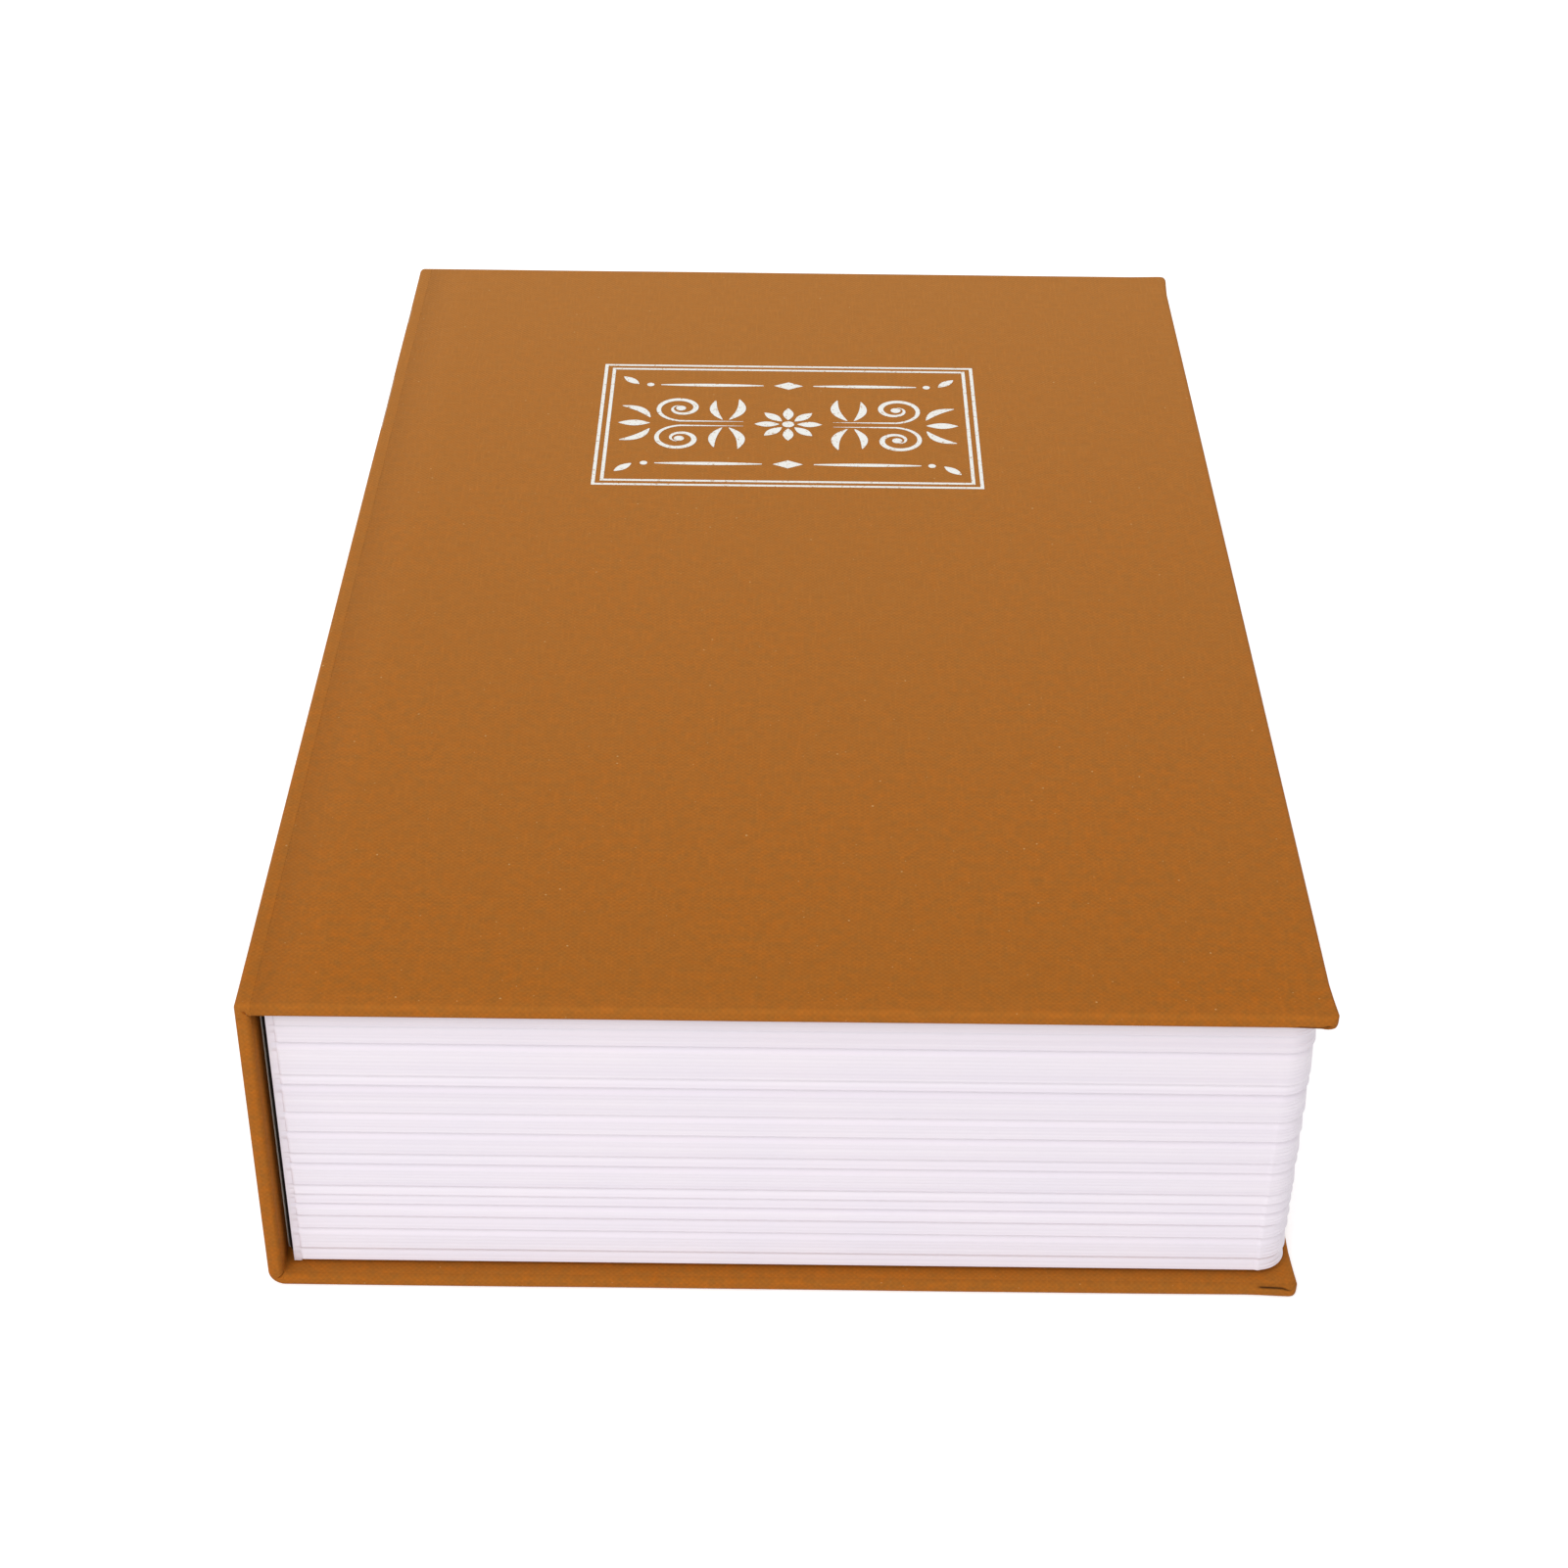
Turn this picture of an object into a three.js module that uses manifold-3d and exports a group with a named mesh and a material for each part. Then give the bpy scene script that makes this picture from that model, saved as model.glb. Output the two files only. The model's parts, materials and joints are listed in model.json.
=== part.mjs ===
// A book diversion safe: a steel cash box with a hinged, locking lid, hidden in a cloth-bound book case.
// Millimetres. X runs from the spine to the fore-edge, Y from the tail to the head, Z up from the table.
// The origin is the middle of the back cover's outer face, where the closed book lies on the table.

import * as THREE from "three";
import { mergeVertices } from "three/addons/utils/BufferGeometryUtils.js";
import Module from "manifold-3d";

const wasm = await Module();
wasm.setup();

// Book case: three boards under one cloth, with pasted papers inside
const caseWidth = 155;
const caseLength = 240;
const caseHeight = 55;
const boardThickness = 1.8;
const clothThickness = 0.25;
const paperThickness = 0.15;
const turnInWidth = 15;
const paperMargin = 6;
const jointRadius = 2.5;
const clothEdgeRound = 0.4;
const clothFoldRadius = 0.6;

// Moulded pages: how far they stand back from the case, and their wall, rim and ribs
const tailSquare = 2.3;
const foreSquare = 1.2;
const pageStart = 3.7;
const pageWall = 2.1;
const pageCornerRadius = 4.4;
const pageFootGap = 0.35;
const pageTopGap = 0.3;
const rimWidth = 6;
const rimThickness = 1.2;
const marginWidth = 1.1;
const marginDepth = 0.4;
const ribEndLength = 0.5;
const ribEndShares = [0, 0.35, 0.8, 1];
const edgeDepth = 0.3;
const fineGroove = 0.45;
const deepGroove = 0.75;
const crestRun = 0.6;
const shoulderRun = 0.9;
const shoulderDepth = 0.2;
const ribRunShare = 0.33;
// Each groove: its height as a share of the page block's height, from the foot up, and its depth
const grooveShares = [
  [0.051, fineGroove],
  [0.133, deepGroove],
  [0.186, fineGroove],
  [0.235, deepGroove],
  [0.273, fineGroove],
  [0.311, fineGroove],
  [0.398, deepGroove],
  [0.439, fineGroove],
  [0.524, deepGroove],
  [0.601, deepGroove],
  [0.708, deepGroove],
  [0.746, fineGroove],
  [0.868, deepGroove],
  [0.932, fineGroove],
];

// Steel tray and lid
const traySheet = 0.8;
const trayPageGap = 0.3;
const hingeFlangeWidth = 10.25;
const lipWidth = 10.3;
const hemDepth = 3.2;
const lidSheet = 1;
const lidDrop = 4.25;
const lidSeatGap = 0.3;
const lidRimGap = 0.5;
const lidHingeGap = 0.6;
const lidCornerRadius = 2;
const lidFlangeStart = 4;
const lidFlangeDepth = 4;
const lidFlangeGap = 1.7;

// Piano hinge and its rivets
const hingeLength = 180;
const knuckleCount = 9;
const knuckleGap = 0.4;
const knuckleRadius = 1.7;
const leafSheet = 0.8;
const leafWidth = 8.8;
const leafNotchGap = 0.3;
const pinRadius = 0.85;
const pinClearance = 0.15;
const pinEnd = 0.6;
const rivetsPerLeaf = 4;
const rivetEndDistance = 10;
const rivetPinDistance = 5.4;
const rivetShankRadius = 1.2;
const rivetClearance = 0.15;
const rivetHeadRadius = 2.2;
const rivetHeadHeight = 0.8;
const rivetDomeShares = [0.9, 0.6, 0.3];
const rivetTailRadius = 1.9;
const rivetTailHeight = 0.7;

// Cam lock
const lockEdgeDistance = 22.2;
const barrelRadius = 8;
const barrelFlat = 6.9;
const barrelReach = 9.4;
const barrelClearance = 0.2;
const headRadius = 9.5;
const headHeight = 1.8;
const headBevel = 0.6;
const plugRadius = 5.5;
const plugClearance = 0.2;
const plugProud = 0.25;
const plugChamfer = 0.4;
const keywayLength = 7;
const keywayWidth = 1.3;
const keywayDepth = 8;
const wardWidth = 1;
const wardLength = 2.6;
const washerRadius = 10.8;
const washerToothDepth = 0.9;
const washerTeeth = 12;
const washerThickness = 0.6;
const nutSides = 6;
const nutFlat = 10;
const nutHeight = 2.6;
const tailHalf = 3.2;
const tailClearance = 0.2;
const tailShort = 0.2;
const camGap = 0.3;
const camSheet = 1.5;
const camWidth = 12;
const camReach = 20.5;
const camTipRadius = 2;
const crankStart = 9.5;
const crankEnd = 13;
const crankRise = 3.9;
const screwHeadRadius = 4.2;
const screwHeadHeight = 1.5;
const screwShankRadius = 1.7;
const screwClearance = 0.2;
const screwReach = 6;
const screwSlotWidth = 1;
const screwSlotDepth = 0.7;

// How far a cutting solid runs past the face that it cuts
const overrun = 3;

// Steps round a curve
const roundSteps = 24;
const smallRoundSteps = 12;
const cornerSteps = 8;
const foldSteps = 3;
const jointSteps = 6;
const bevelSteps = 2;

// Places worked out from the sizes
const spineX = -caseWidth / 2;
const foreX = caseWidth / 2;
const endY = caseLength / 2;
const wrapThickness = boardThickness + 2 * clothThickness;
const linedThickness = wrapThickness + paperThickness;
const jointX = spineX + jointRadius;
const upperJointZ = caseHeight - jointRadius;
const coverUnderside = caseHeight - linedThickness;

const pageSpineX = spineX + pageStart;
const pageForeX = foreX - foreSquare;
const pageTailY = -endY + tailSquare;
const pageFootZ = linedThickness + pageFootGap;
const pageTopZ = coverUnderside - pageTopGap;

const traySpineX = spineX + linedThickness;
const trayForeX = pageForeX - pageWall - trayPageGap;
const trayEndY = -pageTailY - pageWall - trayPageGap;
const trayCornerRadius = pageCornerRadius - pageWall - trayPageGap;
const trayFootZ = linedThickness;
const seamX = traySpineX + hingeFlangeWidth;
const mouthForeX = trayForeX - lipWidth;
const mouthEndY = trayEndY - lipWidth;

const lidTopZ = coverUnderside - lidDrop;
const lidBottomZ = lidTopZ - lidSheet;
const lipTopZ = lidBottomZ - lidSeatGap;
const lipBottomZ = lipTopZ - traySheet;
const hemFootZ = lipBottomZ - hemDepth;
const lidHingeX = seamX + lidHingeGap;
const lidForeX = pageForeX - rimWidth - lidRimGap;
const lidEndY = -pageTailY - rimWidth - lidRimGap;

const pinX = seamX + lidHingeGap / 2;
const pinZ = lidTopZ + knuckleRadius;
const leafTopZ = lidTopZ + leafSheet;
const knucklePitch = hingeLength / knuckleCount;

const lockX = lidForeX - lockEdgeDistance;

// Materials
const surface = (color, roughness, metalness) =>
  new THREE.MeshStandardMaterial({ color, roughness, metalness, flatShading: true });
const bookCloth = surface(0xa96d31, 0.85, 0);
const greyBoard = surface(0x9c9183, 0.95, 0);
const endpaper = surface(0xe9e3d6, 0.9, 0);
const pagePlastic = surface(0xe9e2ec, 0.4, 0);
const blackPaint = surface(0x1b1b1c, 0.5, 0.2);
const hingeSteel = surface(0x8f9194, 0.35, 1);
const lockChrome = surface(0xc9cbd0, 0.15, 1);
const zincSteel = surface(0xa8a79c, 0.45, 1);

// A closed three.js geometry as a solid that can be joined and cut.
function solid(geometry) {
  const bare = geometry.index ? geometry.toNonIndexed() : geometry.clone();
  bare.deleteAttribute("normal");
  bare.deleteAttribute("uv");
  const merged = mergeVertices(bare);
  const corners = [];
  for (let i = 0; i < merged.index.count; i += 3) {
    const [a, b, c] = [0, 1, 2].map((k) => merged.index.getX(i + k));
    if (a !== b && b !== c && c !== a) corners.push(a, b, c);
  }
  const data = {
    numProp: 3,
    vertProperties: merged.attributes.position.array,
    triVerts: new Uint32Array(corners),
  };
  return new wasm.Manifold(new wasm.Mesh(data));
}

// A solid as a named mesh.
function piece(name, made, material) {
  const { vertProperties, triVerts } = made.getMesh();
  const geometry = new THREE.BufferGeometry();
  geometry.setAttribute("position", new THREE.BufferAttribute(vertProperties, 3));
  geometry.setIndex(new THREE.BufferAttribute(triVerts, 1));
  geometry.computeVertexNormals();
  const mesh = new THREE.Mesh(geometry, material);
  mesh.name = name;
  return mesh;
}

// A box between two opposite corners. Its corners are set, not moved, so two boxes' faces meet exactly.
function block(low, high) {
  const box = new THREE.BoxGeometry();
  const corners = box.getAttribute("position");
  for (let i = 0; i < corners.count; i += 1) {
    const sides = [corners.getX(i), corners.getY(i), corners.getZ(i)];
    corners.setXYZ(i, ...sides.map((side, axis) => (side < 0 ? low[axis] : high[axis])));
  }
  return solid(box);
}

// An outline carried straight along Z, from exactly one place to exactly another.
function carried(outline, start, end, steps) {
  const settings = { depth: end - start, bevelEnabled: false, curveSegments: steps };
  const along = new THREE.ExtrudeGeometry(outline, settings);
  const corners = along.getAttribute("position");
  for (let i = 0; i < corners.count; i += 1) corners.setZ(i, corners.getZ(i) > 0 ? end : start);
  return along;
}

// A plan outline carried up from one height to another.
function prism(outline, z0, z1, steps = cornerSteps) {
  return solid(carried(outline, z0, z1, steps));
}

// An outline drawn in X and Z, carried along Y between two places.
function bar(outline, y0, y1, steps = smallRoundSteps) {
  return solid(carried(outline, -y1, -y0, steps).rotateX(Math.PI / 2));
}

// An outline drawn in X and Z, carried the whole length of the case with its end edges rounded.
function wrappedBar(outline) {
  const settings = {
    depth: caseLength - 2 * clothEdgeRound,
    bevelThickness: clothEdgeRound,
    bevelSize: clothEdgeRound,
    bevelOffset: -clothEdgeRound,
    bevelSegments: bevelSteps,
    curveSegments: foldSteps,
  };
  const along = new THREE.ExtrudeGeometry(outline, settings);
  return solid(along.rotateX(Math.PI / 2).translate(0, settings.depth / 2, 0));
}

// A profile of radius and height points, turned about an upright axis.
function turned(profile, steps = roundSteps, axisX = 0, axisY = 0) {
  const points = profile.map(([radius, z]) => new THREE.Vector2(radius, z));
  const round = new THREE.LatheGeometry(points, steps);
  return solid(round.rotateX(Math.PI / 2).translate(axisX, axisY, 0));
}

// A plain upright round bar.
function rod(radius, z0, z1, steps = roundSteps, axisX = 0, axisY = 0) {
  const profile = [
    [0, z0],
    [radius, z0],
    [radius, z1],
    [0, z1],
  ];
  return turned(profile, steps, axisX, axisY);
}

// A rectangle with rounded corners, as a plan outline.
function roundedRectangle(x0, y0, x1, y1, radius) {
  const outline = new THREE.Shape();
  outline.absarc(x1 - radius, y0 + radius, radius, -Math.PI / 2, 0);
  outline.absarc(x1 - radius, y1 - radius, radius, 0, Math.PI / 2);
  outline.absarc(x0 + radius, y1 - radius, radius, Math.PI / 2, Math.PI);
  outline.absarc(x0 + radius, y0 + radius, radius, Math.PI, 1.5 * Math.PI);
  return outline;
}

// A quarter ring of cloth where two boards meet, bulging away from the point where their inner edges meet.
function jointRing(centreZ, startAngle) {
  const innerRadius = jointRadius - clothThickness;
  const ring = new THREE.Shape();
  ring.absarc(jointX, centreZ, jointRadius, startAngle, startAngle + Math.PI / 2);
  ring.absarc(jointX, centreZ, innerRadius, startAngle + Math.PI / 2, startAngle, true);
  return ring;
}

// The outline of a cloth-covered cover seen from its tail end: square at the joint, folded at the fore-edge.
function coverOutline(z0) {
  const z1 = z0 + wrapThickness;
  const foldX = foreX - clothFoldRadius;
  const outline = new THREE.Shape();
  outline.moveTo(jointX, z1);
  outline.lineTo(jointX, z0);
  outline.absarc(foldX, z0 + clothFoldRadius, clothFoldRadius, -Math.PI / 2, 0);
  outline.absarc(foldX, z1 - clothFoldRadius, clothFoldRadius, 0, Math.PI / 2);
  return outline;
}

// The room for a cover's board inside its cloth.
function coverPocket(z0) {
  const low = [jointX - overrun, -endY + clothThickness, z0 + clothThickness];
  const high = [foreX - clothThickness, endY - clothThickness, z0 + clothThickness + boardThickness];
  return block(low, high);
}

// A cover's board, as long and wide as its pocket.
function coverBoard(z0) {
  const low = [jointX, -endY + clothThickness, z0 + clothThickness];
  const high = [foreX - clothThickness, endY - clothThickness, z0 + clothThickness + boardThickness];
  return block(low, high);
}

// The front cover's cloth: over the outside, round three edges and turned in underneath.
function frontCoverCloth() {
  const z0 = caseHeight - wrapThickness;
  const windowLow = [jointX - overrun, -endY + turnInWidth, z0 - overrun];
  const windowHigh = [foreX - turnInWidth, endY - turnInWidth, z0 + clothThickness + boardThickness / 2];
  return wrappedBar(coverOutline(z0)).subtract(coverPocket(z0)).subtract(block(windowLow, windowHigh));
}

// A paper pasted on the inside of a cover: it sinks to the board between the turn-ins.
function coverPaper(boardFaceZ, turnInFaceZ, paperFaceZ, startX) {
  const sheetZ = [turnInFaceZ, paperFaceZ].sort((a, b) => a - b);
  const sunkZ = [boardFaceZ, paperFaceZ].sort((a, b) => a - b);
  const sheet = block(
    [startX, -endY + paperMargin, sheetZ[0]],
    [foreX - paperMargin, endY - paperMargin, sheetZ[1]],
  );
  const sunk = block(
    [jointX, -endY + turnInWidth, sunkZ[0]],
    [foreX - turnInWidth, endY - turnInWidth, sunkZ[1]],
  );
  return sheet.add(sunk);
}

// The cloth of the back cover and spine: one L-shaped wrap with a rounded joint, turned in at its edges.
function caseCloth() {
  const spineInnerX = spineX + wrapThickness;
  const foldX = foreX - clothFoldRadius;
  const outline = new THREE.Shape();
  outline.moveTo(spineInnerX, upperJointZ);
  outline.lineTo(spineX, upperJointZ);
  outline.absarc(jointX, jointRadius, jointRadius, Math.PI, 1.5 * Math.PI);
  outline.absarc(foldX, clothFoldRadius, clothFoldRadius, -Math.PI / 2, 0);
  outline.absarc(foldX, wrapThickness - clothFoldRadius, clothFoldRadius, 0, Math.PI / 2);
  outline.lineTo(spineInnerX, wrapThickness);

  const boardInner = clothThickness + boardThickness;
  const boardRoom = new THREE.Shape();
  boardRoom.moveTo(spineX + boardInner, upperJointZ + overrun);
  boardRoom.lineTo(spineX + clothThickness, upperJointZ + overrun);
  boardRoom.absarc(jointX, jointRadius, jointRadius - clothThickness, Math.PI, 1.5 * Math.PI);
  boardRoom.lineTo(foreX - clothThickness, clothThickness);
  boardRoom.lineTo(foreX - clothThickness, boardInner);
  boardRoom.lineTo(spineX + boardInner, boardInner);

  const boardMiddle = clothThickness + boardThickness / 2;
  const window = new THREE.Shape();
  window.moveTo(spineX + boardMiddle, upperJointZ + overrun);
  window.lineTo(spineX + boardMiddle, boardMiddle);
  window.lineTo(foreX - turnInWidth, boardMiddle);
  window.lineTo(foreX - turnInWidth, wrapThickness + overrun);
  window.lineTo(spineInnerX + overrun, wrapThickness + overrun);
  window.lineTo(spineInnerX + overrun, upperJointZ + overrun);

  return wrappedBar(outline)
    .subtract(bar(boardRoom, -endY + clothThickness, endY - clothThickness, jointSteps))
    .subtract(bar(window, -endY + turnInWidth, endY - turnInWidth));
}

// The spine's board stands between the two joints.
function spineBoard() {
  const pocketEndY = endY - clothThickness;
  const low = [spineX + clothThickness, -pocketEndY, jointRadius];
  const high = [spineX + clothThickness + boardThickness, pocketEndY, upperJointZ];
  return block(low, high);
}

// The paper lining pasted on the inside of the spine.
function spineLining() {
  const boardFaceX = spineX + clothThickness + boardThickness;
  const turnInFaceX = spineX + wrapThickness;
  const sheet = block(
    [turnInFaceX, -endY + paperMargin, linedThickness],
    [traySpineX, endY - paperMargin, upperJointZ],
  );
  const sunk = block(
    [boardFaceX, -endY + turnInWidth, linedThickness],
    [traySpineX, endY - turnInWidth, upperJointZ],
  );
  return sheet.add(sunk);
}

// The outer face of the page block from foot to top, as depth and height points.
// Above each groove the wall steps out to a crest, then leans back to the shoulder under the next groove.
// In a low rib these two runs get shorter, down to their share of its height.
function ribbedFace() {
  const height = pageTopZ - pageFootZ;
  const grooves = [
    [pageFootZ, edgeDepth],
    ...grooveShares.map(([share, depth]) => [pageFootZ + share * height, depth]),
    [pageTopZ, edgeDepth],
  ];
  const face = [];
  grooves.slice(0, -1).forEach(([low, depth], i) => {
    const high = grooves[i + 1][0];
    const limit = (high - low) * ribRunShare;
    face.push([depth, low]);
    face.push([0, low + Math.min(crestRun, limit)]);
    face.push([shoulderDepth, high - Math.min(shoulderRun, limit)]);
  });
  face.push([edgeDepth, pageTopZ]);
  return face;
}

// The page wall's section, starting at the inner corner under the rim, which sees every other point.
// A relief of 0 is the plain margin and 1 is the full rib.
function pageSection(relief) {
  const face = ribbedFace().map(([depth, z]) => [marginDepth + (depth - marginDepth) * relief, z]);
  return [
    [pageWall, pageTopZ - rimThickness],
    [pageWall, pageFootZ],
    ...face,
    [rimWidth, pageTopZ],
    [rimWidth, pageTopZ - rimThickness],
  ];
}

// Places along the page wall from the spine end of the tail to the spine end of the head, with the way out.
// Past the centre of a rounded corner the rim goes on along the mitre, so its inner corner is square.
function pageStations() {
  const straight = { y: pageTailY, out: [0, -1], mitre: [0, -1] };
  const tail = [{ ...straight, x: pageSpineX, relief: 0 }];
  ribEndShares.forEach((share) => {
    const x = pageSpineX + marginWidth + share * ribEndLength;
    tail.push({ ...straight, x, relief: Math.sqrt(1 - (1 - share) ** 2) });
  });
  for (let step = 0; step <= cornerSteps; step += 1) {
    const angle = -Math.PI / 2 + (step / cornerSteps) * (Math.PI / 2);
    const out = [Math.cos(angle), Math.sin(angle)];
    const x = pageForeX - pageCornerRadius + pageCornerRadius * out[0];
    const y = pageTailY + pageCornerRadius + pageCornerRadius * out[1];
    tail.push({ x, y, out, mitre: [1, -1], relief: 1 });
  }
  const mirror = ({ x, y, out, mitre, relief }) => ({
    x,
    y: -y,
    out: [out[0], -out[1]],
    mitre: [mitre[0], -mitre[1]],
    relief,
  });
  return [...tail, ...[...tail].reverse().map(mirror)];
}

// The moulded page block: one ribbed wall section swept round three sides of the box.
function pageBlock() {
  const rings = pageStations().map(({ x, y, out, mitre, relief }) =>
    pageSection(relief).map(([depth, z]) => {
      const rounded = Math.min(depth, pageCornerRadius);
      const rest = depth - rounded;
      return [x - out[0] * rounded - mitre[0] * rest, y - out[1] * rounded - mitre[1] * rest, z];
    }),
  );
  const count = rings[0].length;
  const last = (rings.length - 1) * count;
  const triangles = [];
  for (let start = 0; start < last; start += count) {
    for (let j = 0; j < count; j += 1) {
      const next = (j + 1) % count;
      triangles.push(start + j, start + count + j, start + count + next);
      triangles.push(start + j, start + count + next, start + next);
    }
  }
  for (let j = 1; j < count - 1; j += 1) {
    triangles.push(0, j, j + 1);
    triangles.push(last, last + j + 1, last + j);
  }
  const geometry = new THREE.BufferGeometry();
  geometry.setAttribute("position", new THREE.Float32BufferAttribute(rings.flat(2), 3));
  geometry.setIndex(triangles);
  return solid(geometry);
}

// The steel tray: folded sheet with a hinge flange at the spine, and a hemmed lip on the other three sides.
function boxTray() {
  const outside = roundedRectangle(traySpineX, -trayEndY, trayForeX, trayEndY, trayCornerRadius);
  const inside = roundedRectangle(
    traySpineX + traySheet,
    -trayEndY + traySheet,
    trayForeX - traySheet,
    trayEndY - traySheet,
    trayCornerRadius - traySheet,
  );
  const floorZ = trayFootZ + traySheet;
  const flangeRoom = block(
    [traySpineX, -trayEndY, floorZ],
    [seamX, trayEndY, lidTopZ - traySheet],
  ).intersect(prism(inside, floorZ, lidTopZ));
  const lidRoom = block(
    [seamX, -trayEndY - overrun, lipTopZ],
    [trayForeX + overrun, trayEndY + overrun, lidTopZ + overrun],
  );
  const mouth = block(
    [seamX, -mouthEndY, hemFootZ],
    [mouthForeX, mouthEndY, lidTopZ + overrun],
  );
  const hems = [
    block([mouthForeX, -mouthEndY, hemFootZ], [mouthForeX + traySheet, mouthEndY, lipTopZ]),
    block([seamX, -mouthEndY - traySheet, hemFootZ], [mouthForeX + traySheet, -mouthEndY, lipTopZ]),
    block([seamX, mouthEndY, hemFootZ], [mouthForeX + traySheet, mouthEndY + traySheet, lipTopZ]),
  ];
  let tray = prism(outside, trayFootZ, lidTopZ)
    .subtract(prism(inside, floorZ, lipBottomZ))
    .subtract(flangeRoom)
    .subtract(lidRoom)
    .subtract(mouth);
  hems.forEach((hem) => {
    tray = tray.add(hem);
  });
  rivetPlaces(-1).forEach(([x, y]) => {
    tray = tray.subtract(rivetHole(x, y));
  });
  return tray;
}

// The lid: a flat steel plate with a stiffening flange turned down inside the tray's mouth.
function lidPanel() {
  const flangeForeX = mouthForeX - lidFlangeGap;
  const flangeEndY = mouthEndY - lidFlangeGap;
  const flangeSpineX = lidHingeX + lidFlangeStart;
  const flangeFootZ = lidBottomZ - lidFlangeDepth;
  const skirt = block([flangeSpineX, -flangeEndY, flangeFootZ], [flangeForeX, flangeEndY, lidTopZ]);
  const skirtRoom = block(
    [flangeSpineX - overrun, -flangeEndY + lidSheet, flangeFootZ - overrun],
    [flangeForeX - lidSheet, flangeEndY - lidSheet, lidBottomZ],
  );
  const plate = roundedRectangle(lidHingeX, -lidEndY, lidForeX, lidEndY, lidCornerRadius);
  let lid = prism(plate, lidBottomZ, lidTopZ).add(skirt.subtract(skirtRoom));
  rivetPlaces(1).forEach(([x, y]) => {
    lid = lid.subtract(rivetHole(x, y));
  });
  return lid.subtract(lockHole());
}

// The lock's hole in the lid has the two flats that keep the barrel from turning.
function lockHole() {
  const [radius, flat] = [barrelRadius + barrelClearance, barrelFlat + barrelClearance];
  const round = rod(radius, lidBottomZ - overrun, lidTopZ + overrun, roundSteps, lockX);
  const between = block(
    [lockX - radius, -flat, lidBottomZ - overrun],
    [lockX + radius, flat, lidTopZ + overrun],
  );
  return round.intersect(between);
}

// Where a leaf's rivets sit: side -1 is the tray's leaf and side 1 is the lid's.
function rivetPlaces(side) {
  const span = hingeLength - 2 * rivetEndDistance;
  return Array.from({ length: rivetsPerLeaf }, (_, i) => {
    const y = -span / 2 + (span * i) / (rivetsPerLeaf - 1);
    return [pinX + side * rivetPinDistance, y];
  });
}

// A rivet's hole, through a leaf and the sheet below it.
function rivetHole(x, y) {
  const radius = rivetShankRadius + rivetClearance;
  return rod(radius, lidBottomZ - overrun, leafTopZ + overrun, smallRoundSteps, x, y);
}

// A domed rivet through a leaf and a sheet, with its tail set below. Zero is the leaf's top face.
function rivet(sheet) {
  const grip = leafSheet + sheet;
  const dome = rivetDomeShares.map((share) => [
    rivetHeadRadius * Math.sin((share * Math.PI) / 2),
    rivetHeadHeight * Math.cos((share * Math.PI) / 2),
  ]);
  const profile = [
    [0, -grip - rivetTailHeight],
    [rivetTailRadius, -grip - rivetTailHeight],
    [rivetTailRadius, -grip],
    [rivetShankRadius, -grip],
    [rivetShankRadius, 0],
    [rivetHeadRadius, 0],
    ...dome,
    [0, rivetHeadHeight],
  ];
  return turned(profile, smallRoundSteps);
}

// One leaf of the piano hinge: a strip of sheet whose notched edge rolls into every second knuckle.
function hingeLeaf(side) {
  const notchX = knuckleRadius + leafNotchGap;
  const edges = [side * notchX, side * leafWidth].sort((a, b) => a - b);
  let leaf = block(
    [pinX + edges[0], -hingeLength / 2, lidTopZ],
    [pinX + edges[1], hingeLength / 2, leafTopZ],
  );
  const roll = new THREE.Shape();
  roll.absarc(pinX, pinZ, knuckleRadius, 0, 2 * Math.PI);
  const bore = new THREE.Shape();
  bore.absarc(pinX, pinZ, pinRadius + pinClearance, 0, 2 * Math.PI);
  const tongueEdges = [0, side * (notchX + leafSheet)].sort((a, b) => a - b);
  const first = side > 0 ? 0 : 1;
  for (let i = first; i < knuckleCount; i += 2) {
    const y0 = -hingeLength / 2 + i * knucklePitch + knuckleGap / 2;
    const y1 = y0 + knucklePitch - knuckleGap;
    const tongue = block([pinX + tongueEdges[0], y0, lidTopZ], [pinX + tongueEdges[1], y1, leafTopZ]);
    leaf = leaf.add(bar(roll, y0, y1)).add(tongue);
  }
  leaf = leaf.subtract(bar(bore, -hingeLength / 2 - overrun, hingeLength / 2 + overrun));
  rivetPlaces(side).forEach(([x, y]) => {
    leaf = leaf.subtract(rivetHole(x, y));
  });
  return leaf;
}

// The hinge's pin, a little longer than the knuckles.
function hingePin() {
  const round = new THREE.Shape();
  round.absarc(pinX, pinZ, pinRadius, 0, 2 * Math.PI);
  return bar(round, -hingeLength / 2 - pinEnd, hingeLength / 2 + pinEnd);
}

// The lock's barrel with its bevelled head. In the lock's own pieces zero is the lid's top face.
function lockBarrel() {
  const profile = [
    [0, -barrelReach],
    [barrelRadius, -barrelReach],
    [barrelRadius, 0],
    [headRadius, 0],
    [headRadius, headHeight - headBevel],
    [headRadius - headBevel, headHeight],
    [0, headHeight],
  ];
  const flats = [-1, 1].map((side) => {
    const edges = [side * barrelFlat, side * (barrelFlat + overrun)].sort((a, b) => a - b);
    return block([-barrelRadius, edges[0], -barrelReach - overrun], [barrelRadius, edges[1], 0]);
  });
  return turned(profile)
    .subtract(flats[0])
    .subtract(flats[1])
    .subtract(rod(plugRadius + plugClearance, -barrelReach - overrun, headHeight + overrun));
}

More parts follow.
